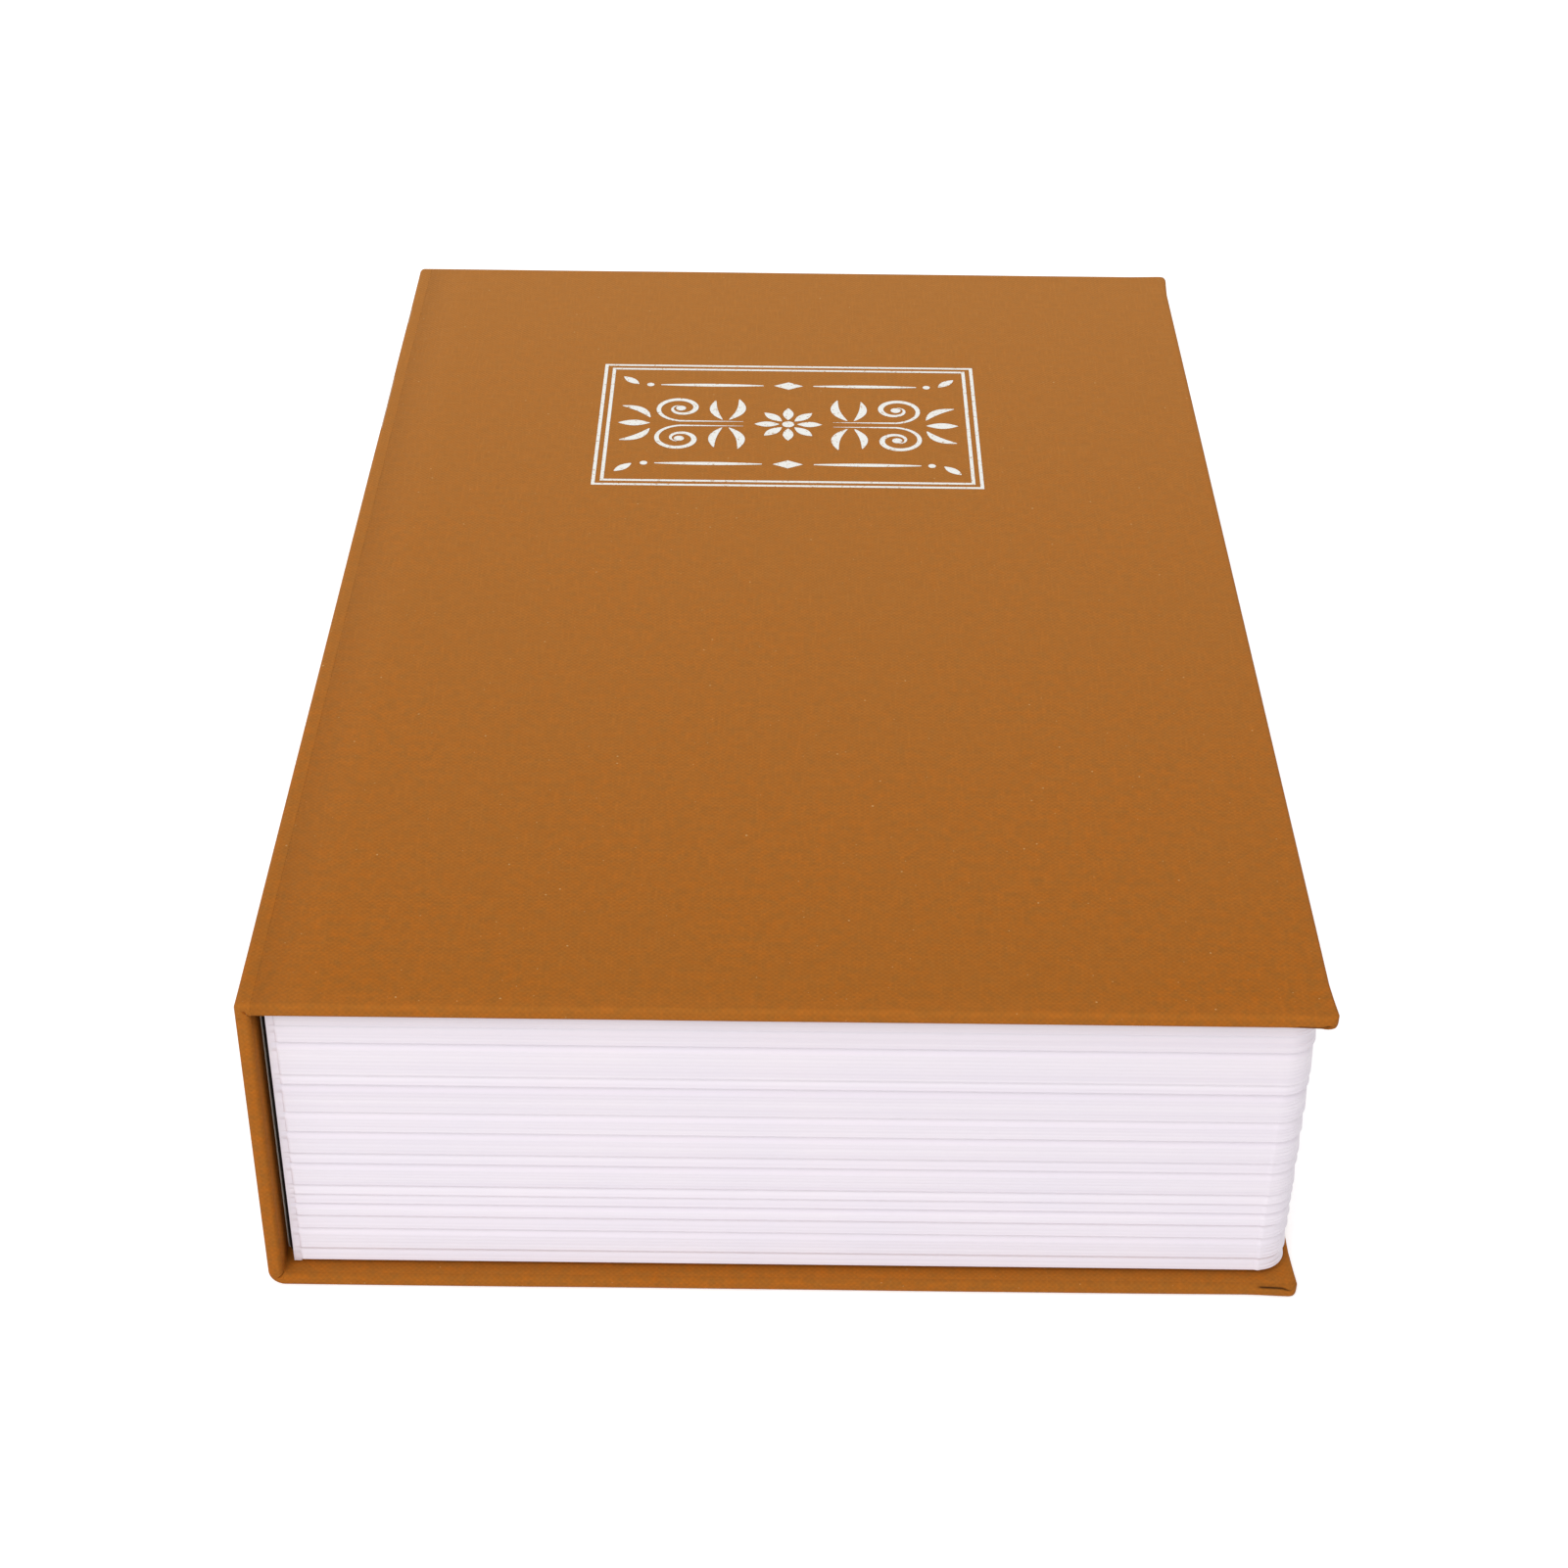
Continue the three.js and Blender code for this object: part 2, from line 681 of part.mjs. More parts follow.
// The toothed washer between the lid and the nut.
function lockWasher() {
  const outline = new THREE.Shape();
  for (let i = 0; i < 2 * washerTeeth; i += 1) {
    const radius = i % 2 ? washerRadius : washerRadius - washerToothDepth;
    const angle = (i * Math.PI) / washerTeeth;
    const point = [radius * Math.cos(angle), radius * Math.sin(angle)];
    if (i) outline.lineTo(...point);
    else outline.moveTo(...point);
  }
  const top = -lidSheet;
  return prism(outline, top - washerThickness, top).subtract(barrelBore());
}

// The room that the barrel needs in its washer and nut.
function barrelBore() {
  return rod(barrelRadius + barrelClearance, -barrelReach - overrun, overrun);
}

// The hexagon nut that clamps the barrel to the lid.
function lockNut() {
  const outline = new THREE.Shape();
  const radius = nutFlat / Math.cos(Math.PI / nutSides);
  for (let i = 0; i < nutSides; i += 1) {
    const angle = (i * 2 * Math.PI) / nutSides;
    const point = [radius * Math.cos(angle), radius * Math.sin(angle)];
    if (i) outline.lineTo(...point);
    else outline.moveTo(...point);
  }
  const top = -lidSheet - washerThickness;
  return prism(outline, top - nutHeight, top).subtract(barrelBore());
}

// The plug: it turns in the barrel, with the keyway in its face and a square tail for the cam.
function lockPlug() {
  const top = headHeight + plugProud;
  const shoulder = -barrelReach - camGap;
  const tailFoot = shoulder - camSheet + tailShort;
  const profile = [
    [0, shoulder],
    [plugRadius, shoulder],
    [plugRadius, top - plugChamfer],
    [plugRadius - plugChamfer, top],
    [0, top],
  ];
  const tail = block([-tailHalf, -tailHalf, tailFoot], [tailHalf, tailHalf, shoulder + camGap]);
  const keyway = block(
    [-keywayWidth / 2, -keywayLength / 2, top - keywayDepth],
    [keywayWidth / 2, keywayLength / 2, top + overrun],
  );
  const ward = block(
    [0, -keywayLength / 2, top - keywayDepth],
    [keywayWidth / 2 + wardWidth, -keywayLength / 2 + wardLength, top + overrun],
  );
  const thread = rod(
    screwShankRadius + screwClearance,
    tailFoot - overrun,
    shoulder - camSheet + screwReach + screwClearance,
    smallRoundSteps,
  );
  return turned(profile).add(tail).subtract(keyway).subtract(ward).subtract(thread);
}

// The cranked cam: it drops below the barrel at its hub and rises to pass just under the tray's hem.
function lockCam() {
  const hubTop = -barrelReach - camGap;
  const hubFoot = hubTop - camSheet;
  const side = new THREE.Shape();
  side.moveTo(-camWidth / 2, hubFoot);
  side.lineTo(crankStart, hubFoot);
  side.lineTo(crankEnd, hubFoot + crankRise);
  side.lineTo(camReach, hubFoot + crankRise);
  side.lineTo(camReach, hubTop + crankRise);
  side.lineTo(crankEnd, hubTop + crankRise);
  side.lineTo(crankStart, hubTop);
  side.lineTo(-camWidth / 2, hubTop);

  const plan = new THREE.Shape();
  const tipX = camReach - camTipRadius;
  const tipY = camWidth / 2 - camTipRadius;
  plan.absarc(0, 0, camWidth / 2, Math.PI / 2, 1.5 * Math.PI);
  plan.absarc(tipX, -tipY, camTipRadius, -Math.PI / 2, 0);
  plan.absarc(tipX, tipY, camTipRadius, 0, Math.PI / 2);

  const half = tailHalf + tailClearance;
  const hole = block([-half, -half, hubFoot - overrun], [half, half, hubTop + overrun]);
  return bar(side, -camWidth / 2, camWidth / 2)
    .intersect(prism(plan, hubFoot, hubTop + crankRise))
    .subtract(hole);
}

// The slotted screw that holds the cam on the plug.
function camScrew() {
  const seat = -barrelReach - camGap - camSheet;
  const foot = seat - screwHeadHeight;
  const profile = [
    [0, foot],
    [screwHeadRadius, foot],
    [screwHeadRadius, seat],
    [screwShankRadius, seat],
    [screwShankRadius, seat + screwReach],
    [0, seat + screwReach],
  ];
  const slot = block(
    [-screwHeadRadius - overrun, -screwSlotWidth / 2, foot - overrun],
    [screwHeadRadius + overrun, screwSlotWidth / 2, foot + screwSlotDepth],
  );
  return turned(profile, smallRoundSteps).subtract(slot);
}

// The case's back, spine and joint, which stay still with the box
function caseBase() {
  const group = new THREE.Group();
  const turnInFaceZ = wrapThickness;
  const boardFaceZ = wrapThickness - clothThickness;
  const joint = bar(jointRing(upperJointZ, Math.PI / 2), -endY, endY, jointSteps);
  group.add(piece("case_cloth", caseCloth(), bookCloth));
  group.add(piece("front_joint_cloth", joint, bookCloth));
  group.add(piece("back_board", coverBoard(0), greyBoard));
  group.add(piece("spine_board", spineBoard(), greyBoard));
  const backPaper = coverPaper(boardFaceZ, turnInFaceZ, linedThickness, traySpineX);
  group.add(piece("back_endpaper", backPaper, endpaper));
  group.add(piece("spine_lining", spineLining(), endpaper));
  return group;
}

// The front cover, which swings about the joint
function frontCover() {
  const group = new THREE.Group();
  const turnInFaceZ = caseHeight - wrapThickness;
  const boardFaceZ = turnInFaceZ + clothThickness;
  group.add(piece("front_cover_cloth", frontCoverCloth(), bookCloth));
  group.add(piece("front_board", coverBoard(turnInFaceZ), greyBoard));
  group.add(piece("front_endpaper", coverPaper(boardFaceZ, turnInFaceZ, coverUnderside, jointX), endpaper));
  return group;
}

// One leaf's row of rivets
function rivetRow(name, side, sheet) {
  const group = new THREE.Group();
  rivetPlaces(side).forEach(([x, y], i) => {
    const one = piece(`${name}_${i + 1}`, rivet(sheet), hingeSteel);
    one.position.set(x, y, leafTopZ);
    group.add(one);
  });
  return group;
}

// The steel box with its pages and its half of the hinge
function box() {
  const group = new THREE.Group();
  group.add(piece("page_block", pageBlock(), pagePlastic));
  group.add(piece("box_tray", boxTray(), blackPaint));
  group.add(piece("tray_hinge_leaf", hingeLeaf(-1), hingeSteel));
  group.add(piece("hinge_pin", hingePin(), hingeSteel));
  group.add(rivetRow("tray_leaf_rivet", -1, traySheet));
  return group;
}

// The turning half of the lock
function lockCore() {
  const group = new THREE.Group();
  const cam = piece("lock_cam", lockCam(), zincSteel);
  cam.rotation.z = Math.PI / 2;
  group.add(piece("lock_plug", lockPlug(), lockChrome));
  group.add(cam);
  group.add(piece("cam_screw", camScrew(), zincSteel));
  return group;
}

// The whole lock, placed on the lid
function lock() {
  const group = new THREE.Group();
  group.position.set(lockX, 0, lidTopZ);
  group.add(piece("lock_barrel", lockBarrel(), lockChrome));
  group.add(piece("lock_washer", lockWasher(), zincSteel));
  group.add(piece("lock_nut", lockNut(), zincSteel));
  group.add(lockCore());
  return group;
}

// The lid with its half of the hinge and the lock
function lid() {
  const group = new THREE.Group();
  group.add(piece("lid_panel", lidPanel(), blackPaint));
  group.add(piece("lid_hinge_leaf", hingeLeaf(1), hingeSteel));
  group.add(rivetRow("lid_leaf_rivet", 1, lidSheet));
  group.add(lock());
  return group;
}

const safe = new THREE.Group();
safe.add(caseBase());
safe.add(frontCover());
safe.add(box());
safe.add(lid());

export default safe;
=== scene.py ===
"""A book diversion safe, a steel cash box in a cloth-bound book case, built on its frame. Metres."""

import json
import math

import bmesh
import bpy
from mathutils import Euler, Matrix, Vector, noise

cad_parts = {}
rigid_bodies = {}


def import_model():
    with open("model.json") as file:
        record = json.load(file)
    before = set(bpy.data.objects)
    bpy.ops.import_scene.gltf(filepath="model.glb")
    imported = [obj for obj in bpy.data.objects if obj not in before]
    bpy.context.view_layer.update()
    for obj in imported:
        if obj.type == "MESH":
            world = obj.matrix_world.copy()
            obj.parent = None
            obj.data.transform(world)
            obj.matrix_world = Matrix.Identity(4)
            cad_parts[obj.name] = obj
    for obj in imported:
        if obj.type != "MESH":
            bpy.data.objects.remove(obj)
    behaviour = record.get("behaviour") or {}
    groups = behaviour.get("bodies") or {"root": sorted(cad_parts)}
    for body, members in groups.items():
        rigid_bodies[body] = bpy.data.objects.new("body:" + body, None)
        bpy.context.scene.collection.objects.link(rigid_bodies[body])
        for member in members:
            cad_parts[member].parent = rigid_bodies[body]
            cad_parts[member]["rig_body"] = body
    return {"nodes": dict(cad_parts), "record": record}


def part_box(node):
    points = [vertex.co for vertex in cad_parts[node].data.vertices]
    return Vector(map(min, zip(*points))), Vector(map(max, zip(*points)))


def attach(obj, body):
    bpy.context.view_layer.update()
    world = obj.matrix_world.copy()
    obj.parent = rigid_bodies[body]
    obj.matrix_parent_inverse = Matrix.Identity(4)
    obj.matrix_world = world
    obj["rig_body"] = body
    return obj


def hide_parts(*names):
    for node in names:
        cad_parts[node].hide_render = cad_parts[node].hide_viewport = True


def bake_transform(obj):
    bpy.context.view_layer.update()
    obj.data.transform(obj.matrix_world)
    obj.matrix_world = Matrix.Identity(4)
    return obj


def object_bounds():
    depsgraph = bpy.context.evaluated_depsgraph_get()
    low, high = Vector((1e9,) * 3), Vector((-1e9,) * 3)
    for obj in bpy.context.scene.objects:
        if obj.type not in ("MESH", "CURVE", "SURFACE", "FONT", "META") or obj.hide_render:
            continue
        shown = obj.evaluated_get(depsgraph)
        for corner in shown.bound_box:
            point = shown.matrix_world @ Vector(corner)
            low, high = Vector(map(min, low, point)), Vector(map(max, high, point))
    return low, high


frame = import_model()
cad_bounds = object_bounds()

# Places of the case and the page block, from the frame
CASE_LOW, CASE_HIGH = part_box("case_cloth")
COVER_LOW, COVER_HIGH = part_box("front_cover_cloth")
PAGES_LOW, PAGES_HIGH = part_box("page_block")
SPINE_X = CASE_LOW.x
FORE_X = COVER_HIGH.x
END_Y = CASE_HIGH.y
TOP_Z = COVER_HIGH.z
JOINT_X = COVER_LOW.x
UPPER_JOINT_Z = CASE_HIGH.z
WRAP = COVER_HIGH.z - COVER_LOW.z
JOINT_RADIUS = JOINT_X - SPINE_X

# Cloth case
CLOTH = 0.00025
TURN_IN = 0.015
TURN_IN_STEPS = 4
PAPER = 0.0001
PAPER_STEP = 0.0015
PAPER_STEPS = 6
LINING_ROOM = 0.00005
LINING_STEPS = 15
LINING_TIP_ROOM = 0.00006
LINING_TIP_SPREAD = 2.5
JOINT_MIDDLE = 135
EDGE_RADIUS = 0.0008
CORNER_STEPS = 12
FLAT_STEPS = 8
JOINT_STEPS = 25
UPPER_CORNER = 0.001
FACE_SPAN = 0.009
CREASE_DEPTH = 0.00045
CREASE_WIDTH = 0.00028
LIP_HEIGHT = 0.00006
LIP_WIDTH = 0.0009
CORNER_RADIUS = 0.0014
EAR_LENGTH = 0.008
EAR_OUT = 0.00045
EAR_SIDE = 0.0003
FOLD_START = 0.0013
FOLD_STOP = 0.0056
FOLD_FADE = 0.0012
FOLD_STEP = 0.0004
FOLD_DEPTH = 0.00018
FOLD_WIDTH = 0.0002
FOLD_PLACE = -0.0008
FOLD_TURN = 0.0004
FLAP = 0.00012
# Painted shade: the share by which the cloth's end edges are darkened all along them
PAINTED_END_SHADE = 0.15
WAVE_LENGTH = 0.022
WAVE_HEIGHT = 0.00006

# Page block: its ribs are the same as in the frame, with rounded crests and finer page lines
PAGE_WALL = 0.0021
PAGE_CORNER = 0.0044
PAGE_CORNER_STEPS = 24
PAGE_SIDE_STEPS = 16
RIM_WIDTH = 0.006
RIM_THICKNESS = 0.0012
MARGIN_WIDTH = 0.0011
MARGIN_DEPTH = 0.0004
RIB_END = 0.0005
RIB_END_STEPS = 10
EDGE_DEPTH = 0.0003
FOOT_DEPTH = 0.0007
FINE_GROOVE = 0.00045
DEEP_GROOVE = 0.00075
CREST_RUN = 0.0006
SHOULDER_RUN = 0.0009
SHOULDER_DEPTH = 0.0002
RIB_RUN = 0.33
PAGE_LINE_DEPTH = 0.00012
PAGE_LINE_PITCH = 0.00062
PAGE_LINE_STRAIGHT = 0.35
PAGE_RIDGE = 0.00014
PAGE_RIDGE_WIDTH = 0.00035
PAGE_RIDGE_REACH = 3
FINE_SHARES = (0.051, 0.186, 0.273, 0.311, 0.439, 0.746, 0.932)
DEEP_SHARES = (0.133, 0.235, 0.398, 0.524, 0.601, 0.708, 0.868)

# Foil on the front cover
FOIL_LIFT = 0.00002
FOIL_STEP = 0.000003
FOIL_THICKNESS = 0.00004
FRAME_LOW = Vector((-0.0364, 0.029))
FRAME_HIGH = Vector((0.0355, 0.077))
RULE_WIDTH = 0.00065
RULE_PITCH = 0.00155

# The ornament inside the double rule, with places from its centre to one quarter
PETALS = 8
PETAL_START = 0.0017
PETAL_END = 0.0064
PETAL_WIDTH = 0.001
ROSETTE_RADIUS = 0.00115
SCROLL_START = Vector((0.0085, 0.0009))
SCROLL_CENTRE = Vector((0.0205, 0.006))
SCROLL_RADIUS = 0.0051
SCROLL_EYE = 0.0011
SCROLL_TURNS = 1.45
SCROLL_POWER = 0.85
SCROLL_STEPS = 72
STEM_STEPS = 12
SCROLL_WIDTH = 0.00052
SCROLL_DOT = 0.00095
# Each leaf's start, end, bow and widest half width
LEAVES = (
    ((0.0112, 0.0016), (0.0094, 0.0098), 0.0013, 0.00085),
    ((0.0125, 0.0016), (0.0139, 0.0093), -0.001, 0.00075),
    ((0.0262, 0.0022), (0.0317, 0.0068), 0.0011, 0.00085),
    ((0.029, 0.0158), (0.032, 0.0188), 0.0, 0.00085),
)
SWELL_Y = 0.0156
SWELL_START = 0.0048
SWELL_END = 0.0247
SWELL_WIDTH = 0.00055
DOT_X = 0.0267
DOT_RADIUS = 0.0007
TIP_START = 0.0262
TIP_END = 0.0322
TIP_WIDTH = 0.0011
LOZENGE_X = 0.0028
LOZENGE_Y = 0.0015
STROKE_STEPS = 24
STROKE_POWER = 0.9
THIN_TIP = 0.02
STROKE_TIP = 0.08
BLUNT_TIP = 0.25

# Bevels of the frame's own nodes
BEVELS = {
    "black_steel": 0.00025,
    "hinge_steel": 0.00012,
    "zinc_steel": 0.00015,
    "grey_board": 0.0008,
}
BEVEL_ANGLE = 30
BEVEL_STEPS = 3
MERGE_DISTANCE = 0.000001

# Light and floor
AMBIENT = 0.62
LAMP_PLACE = Vector((-0.5, -1.1, 1.2))
LAMP_SIZE = 1.2
LAMP_POWER = 14.0
FLOOR_REACH = 6.0
FLOOR_DROP = 0.00005
FLOOR_GREY = 0.86
FLOOR_GLOW = 0.475

# The photograph's camera
CAMERA_PLACE = Vector((-0.000892, -0.428348, 0.312433))
CAMERA_YAW = -0.00097
CAMERA_PITCH = -0.61621
CAMERA_ROLL = 0.01204
CAMERA_LENS = 65.63
CAMERA_SENSOR = 36.0
CAMERA_NEAR = 0.01
CAMERA_FAR = 50


# Mesh helpers


def make_object(name, data):
    """A new object in the scene, from a mesh, a lamp or a camera."""
    piece = bpy.data.objects.new(name, data)
    bpy.context.scene.collection.objects.link(piece)
    return piece


def edit_mesh(mesh, change):
    """Makes one change to a mesh."""
    work = bmesh.new()
    work.from_mesh(mesh)
    change(work)
    work.to_mesh(mesh)
    work.free()


def join_points(work):
    """Merges points that coincide, and drops faces without area and loose points."""
    bmesh.ops.remove_doubles(work, verts=work.verts, dist=MERGE_DISTANCE)
    bmesh.ops.dissolve_degenerate(work, edges=work.edges, dist=MERGE_DISTANCE)
    loose = [v for v in work.verts if not v.link_faces]
    bmesh.ops.delete(work, geom=loose, context="VERTS")


def face_out(work):
    """Turns a closed body's faces outward."""
    bmesh.ops.recalc_face_normals(work, faces=work.faces)


def face_up(work):
    """Turns flat faces upward."""
    for face in work.faces:
        face.normal_update()
        if face.normal.z < 0:
            face.normal_flip()


def smooth(piece, degrees=35):
    """Smooth shading, with sharp edges where faces meet at more than this angle."""
    mesh = piece.data
    mesh.polygons.foreach_set("use_smooth", [True] * len(mesh.polygons))
    mesh.set_sharp_from_angle(angle=math.radians(degrees))


def grid_piece(name, points, places=None, closed=False, keep=lambda i, j: True, values=None):
    """A piece over a grid of points, joined round where closed.

    places holds a texture place for each point, with one column more where closed.
    keep says of a row and a column whether the face that starts there is made.
    values holds one number for each point, kept as an attribute: rubbed wear above zero and painted
    shade below.
    """
    rows, columns = len(points), len(points[0])
    spans = columns if closed else columns - 1
    faces, corners = [], []
    for i in range(rows - 1):
        for j in range(spans):
            if not keep(i, j):
                continue
            k = (j + 1) % columns
            this, following = i * columns, (i + 1) * columns
            faces.append((this + j, this + k, following + k, following + j))
            if places:
                corners += [places[i][j], places[i][j + 1], places[i + 1][j + 1], places[i + 1][j]]
    mesh = bpy.data.meshes.new(name)
    mesh.from_pydata([p for row in points for p in row], [], faces)
    if places:
        layer = mesh.uv_layers.new(name="cloth")
        layer.data.foreach_set("uv", [c for place in corners for c in place])
    if values:
        attribute = mesh.attributes.new("wear_and_shade", "FLOAT", "POINT")
        attribute.data.foreach_set("value", [v for row in values for v in row])
    edit_mesh(mesh, join_points)
    piece = make_object(name, mesh)
    smooth(piece, degrees=50)
    return piece


def band_faces(rings, count, joined):
    """Faces between closed rings of count points, also from the last to the first where joined."""
    faces = []
    for ring in range(rings if joined else rings - 1):
        this, following = ring * count, (ring + 1) % rings * count
        for j in range(count):
            k = (j + 1) % count
            faces.append((this + j, following + j, following + k, this + k))
    return faces


def solid_piece(name, points, faces):
    """A closed body from its points and faces."""
    mesh = bpy.data.meshes.new(name)
    mesh.from_pydata(points, [], faces)
    edit_mesh(mesh, join_points)
    edit_mesh(mesh, face_out)
    return make_object(name, mesh)


def lathe(name, profile, centre, steps):
    """A closed body from a profile of radius and height points, turned upright about centre."""
    points = []
    for step in range(steps):
        turn = 2 * math.pi * step / steps
        for radius, height in profile:
            place = Vector((radius * math.cos(turn), radius * math.sin(turn), height))
            points.append(centre + place)
    return solid_piece(name, points, band_faces(steps, len(profile), joined=True))


def apply_modifiers(piece):
    """Makes the effect of a piece's modifiers part of its own mesh."""
    shaped = piece.evaluated_get(bpy.context.evaluated_depsgraph_get())
    mesh = bpy.data.meshes.new_from_object(shaped)
    piece.modifiers.clear()
    piece.data = mesh
    mesh.name = piece.name


def cut(piece, cutter):
    """Cuts one body out of a piece for good, and removes the cutter."""
    carve = piece.modifiers.new("carve", "BOOLEAN")
    carve.operation = "DIFFERENCE"
    carve.solver = "EXACT"
    carve.object = cutter
    apply_modifiers(piece)
    bpy.data.objects.remove(cutter)


def arc(centre, radius, start, end, steps):
    """Points of an arc, angles in degrees."""
    turns = [math.radians(start + (end - start) * k / steps) for k in range(steps + 1)]
    return [(centre[0] + radius * math.cos(t), centre[1] + radius * math.sin(t)) for t in turns]


def heading(turn):
    """The direction at an angle in radians."""
    return Vector((math.cos(turn), math.sin(turn)))


def shares(count):
    """Even steps from 0 to 1."""
    return [k / count for k in range(count + 1)]


def thicken(piece, thickness, offset):
    """Gives a sheet its thickness: inward at offset -1, both ways at 0 and outward at 1."""
    sheet = piece.modifiers.new("sheet", "SOLIDIFY")
    sheet.thickness = thickness
    sheet.offset = offset


def bevel(piece, width, segments=BEVEL_STEPS):
    """Softens a piece's edges."""
    soften = piece.modifiers.new("soften", "BEVEL")
    soften.width = width
    soften.segments = segments
    soften.limit_method = "ANGLE"
    soften.angle_limit = math.radians(BEVEL_ANGLE)


# Material helpers


def linear(red, green, blue):
    """A colour as it looks, 0 to 255, in the renderer's numbers."""
    parts = [c / 255 for c in (red, green, blue)]
    light = [c / 12.92 if c <= 0.04045 else ((c + 0.055) / 1.055) ** 2.4 for c in parts]
    return (*light, 1.0)


class Nodes:
    """One material's node tree, with short calls for the nodes that the finishes use."""

    def __init__(self, name):
        self.material = bpy.data.materials.new(name)
        self.material.use_nodes = True
        self.tree = self.material.node_tree
        self.shader = self.tree.nodes["Principled BSDF"]

    def add(self, kind, inputs=(), **settings):
        node = self.tree.nodes.new(kind)
        for key, value in settings.items():
            setattr(node, key, value)
        for key, value in dict(inputs).items():
            self.put(node.inputs[key], value)
        return node

    def put(self, socket, value):
        if isinstance(value, bpy.types.NodeSocket):
            self.tree.links.new(value, socket)
        else:
            socket.default_value = value

    def body_place(self):
        return self.add("ShaderNodeTexCoord").outputs["Object"]

    def stretch(self, place, scale):
        node = self.add("ShaderNodeVectorMath", {0: place, 1: scale}, operation="MULTIPLY")
        return node.outputs[0]

    def noise(self, place, scale, detail, roughness=0.5):
        inputs = {"Vector": place, "Scale": scale, "Detail": detail, "Roughness": roughness}
        return self.add("ShaderNodeTexNoise", inputs).outputs[0]

    def calc(self, operation, first, second=0.0, third=0.0):
        node = self.add("ShaderNodeMath", {0: first, 1: second, 2: third}, operation=operation)
        return node.outputs[0]

    def rescale(self, value, low, high, new_low=0.0, new_high=1.0):
        inputs = {0: value, 1: low, 2: high, 3: new_low, 4: new_high}
        return self.add("ShaderNodeMapRange", inputs).outputs[0]

    def spread(self, value, low=0.0, high=1.0):
        """Stretches a noise's usual range to these limits."""
        return self.rescale(value, 0.3, 0.7, low, high)

    def blend(self, share, first, second, mode="MIX"):
        node = self.add("ShaderNodeMix", data_type="RGBA", blend_type=mode)
        self.put(node.inputs["Factor"], share)
        self.put(node.inputs[6], first)
        self.put(node.inputs[7], second)
        return node.outputs[2]

    def bump(self, height, distance, strength):
        inputs = {"Height": height, "Distance": distance, "Strength": strength}
        return self.add("ShaderNodeBump", inputs).outputs[0]

    def finish(self, **values):
        for key, value in values.items():
            self.put(self.shader.inputs[key.replace("_", " ")], value)
        return self.material


def book_cloth():
    """Matt linen book cloth: threads of uneven thickness, mottled dye, paler worn edges, and painted
    light: sheen towards the head, shade in the weave's hollows, on the end edges and in the corner
    slits.
    """
    n = Nodes("book_cloth")
    place = n.add("ShaderNodeUVMap", uv_map="cloth").outputs[0]
    pitch = 0.00046
    weft = n.noise(n.stretch(place, (1 / pitch, 1 / (9 * pitch), 1)), 1.0, 3.0)
    warp = n.noise(n.stretch(place, (1 / (9 * pitch), 1 / pitch, 1)), 1.0, 3.0)
    split = n.add("ShaderNodeSeparateXYZ", {0: place})
    across = n.calc("SINE", n.calc("MULTIPLY", split.outputs[0], math.pi / pitch))
    along = n.calc("SINE", n.calc("MULTIPLY", split.outputs[1], math.pi / pitch))
    weave = n.calc("MULTIPLY_ADD", n.calc("MULTIPLY", across, along), 0.5, 0.5)
    threads = n.calc("ADD", n.calc("MAXIMUM", weft, warp), n.calc("MULTIPLY", weave, 0.35))

    mottle = n.noise(n.stretch(place, (560, 560, 1)), 1.0, 5.0, 0.7)
    drift = n.noise(n.stretch(place, (22, 22, 1)), 1.0, 2.0)
    dye = n.blend(n.rescale(mottle, 0.35, 0.65), linear(157, 97, 33), linear(181, 102, 26))
    worn = n.blend(n.spread(drift, 0.0, 0.5), dye, linear(164, 101, 36))
    # Paler towards the head: painted sheen, standing in for the light that the cloth gives back at a
    # glancing angle
    lengthwise = n.add("ShaderNodeSeparateXYZ", {0: n.body_place()}).outputs[1]
    painted_sheen = n.blend(n.rescale(lengthwise, -END_Y, END_Y, 0.0, 0.75), worn, linear(192, 128, 62))
    # The threads tint the colour too: the threads' own tone, with painted shade in the weave's
    # hollows and painted light on its raised threads
    ridges = n.rescale(threads, 0.5, 1.0, 0.89, 1.08)
    lit = n.blend(1.0, painted_sheen, ridges, "MULTIPLY")
    wear_and_shade = n.add("ShaderNodeAttribute", attribute_name="wear_and_shade").outputs["Fac"]
    rub_and_shade = n.calc("MULTIPLY", wear_and_shade, n.spread(mottle, 0.0, 0.3))
    rubbed = n.blend(rub_and_shade, lit, linear(178, 108, 44))
    flecks = n.noise(n.stretch(place, (1500, 1500, 1)), 1.0, 0.0)
    flecked = n.blend(n.rescale(flecks, 0.84, 0.9, 0.0, 0.6), rubbed, linear(214, 170, 112))
    # Painted shade: values below zero darken the cloth towards a deep brown, in the corner slits and
    # along the end edges
    colour = n.blend(n.rescale(wear_and_shade, 0.0, -1.0, 0.0, 0.9), flecked, linear(58, 33, 12))
    rough = n.spread(mottle, 0.78, 0.9)
    relief = n.bump(threads, 0.00006, 0.6)
    return n.finish(Base_Color=colour, Roughness=rough, Specular_IOR_Level=0.12, Normal=relief)


def page_plastic():
    """Satin white moulding with the faintest tone from page to page."""
    n = Nodes("page_plastic")
    place = n.body_place()
    leaves = n.noise(n.stretch(place, (3, 3, 900)), 1.0, 3.0)
    cloud = n.noise(n.stretch(place, (60, 60, 60)), 1.0, 2.0)
    tone = n.blend(n.spread(leaves), linear(231, 222, 231), linear(239, 231, 238))
    colour = n.blend(n.spread(cloud, 0.0, 0.35), tone, linear(229, 223, 234))
    grain = n.noise(place, 900.0, 2.0)
    rough = n.spread(cloud, 0.34, 0.44)
    return n.finish(Base_Color=colour, Roughness=rough, Normal=n.bump(grain, 0.00001, 0.35))


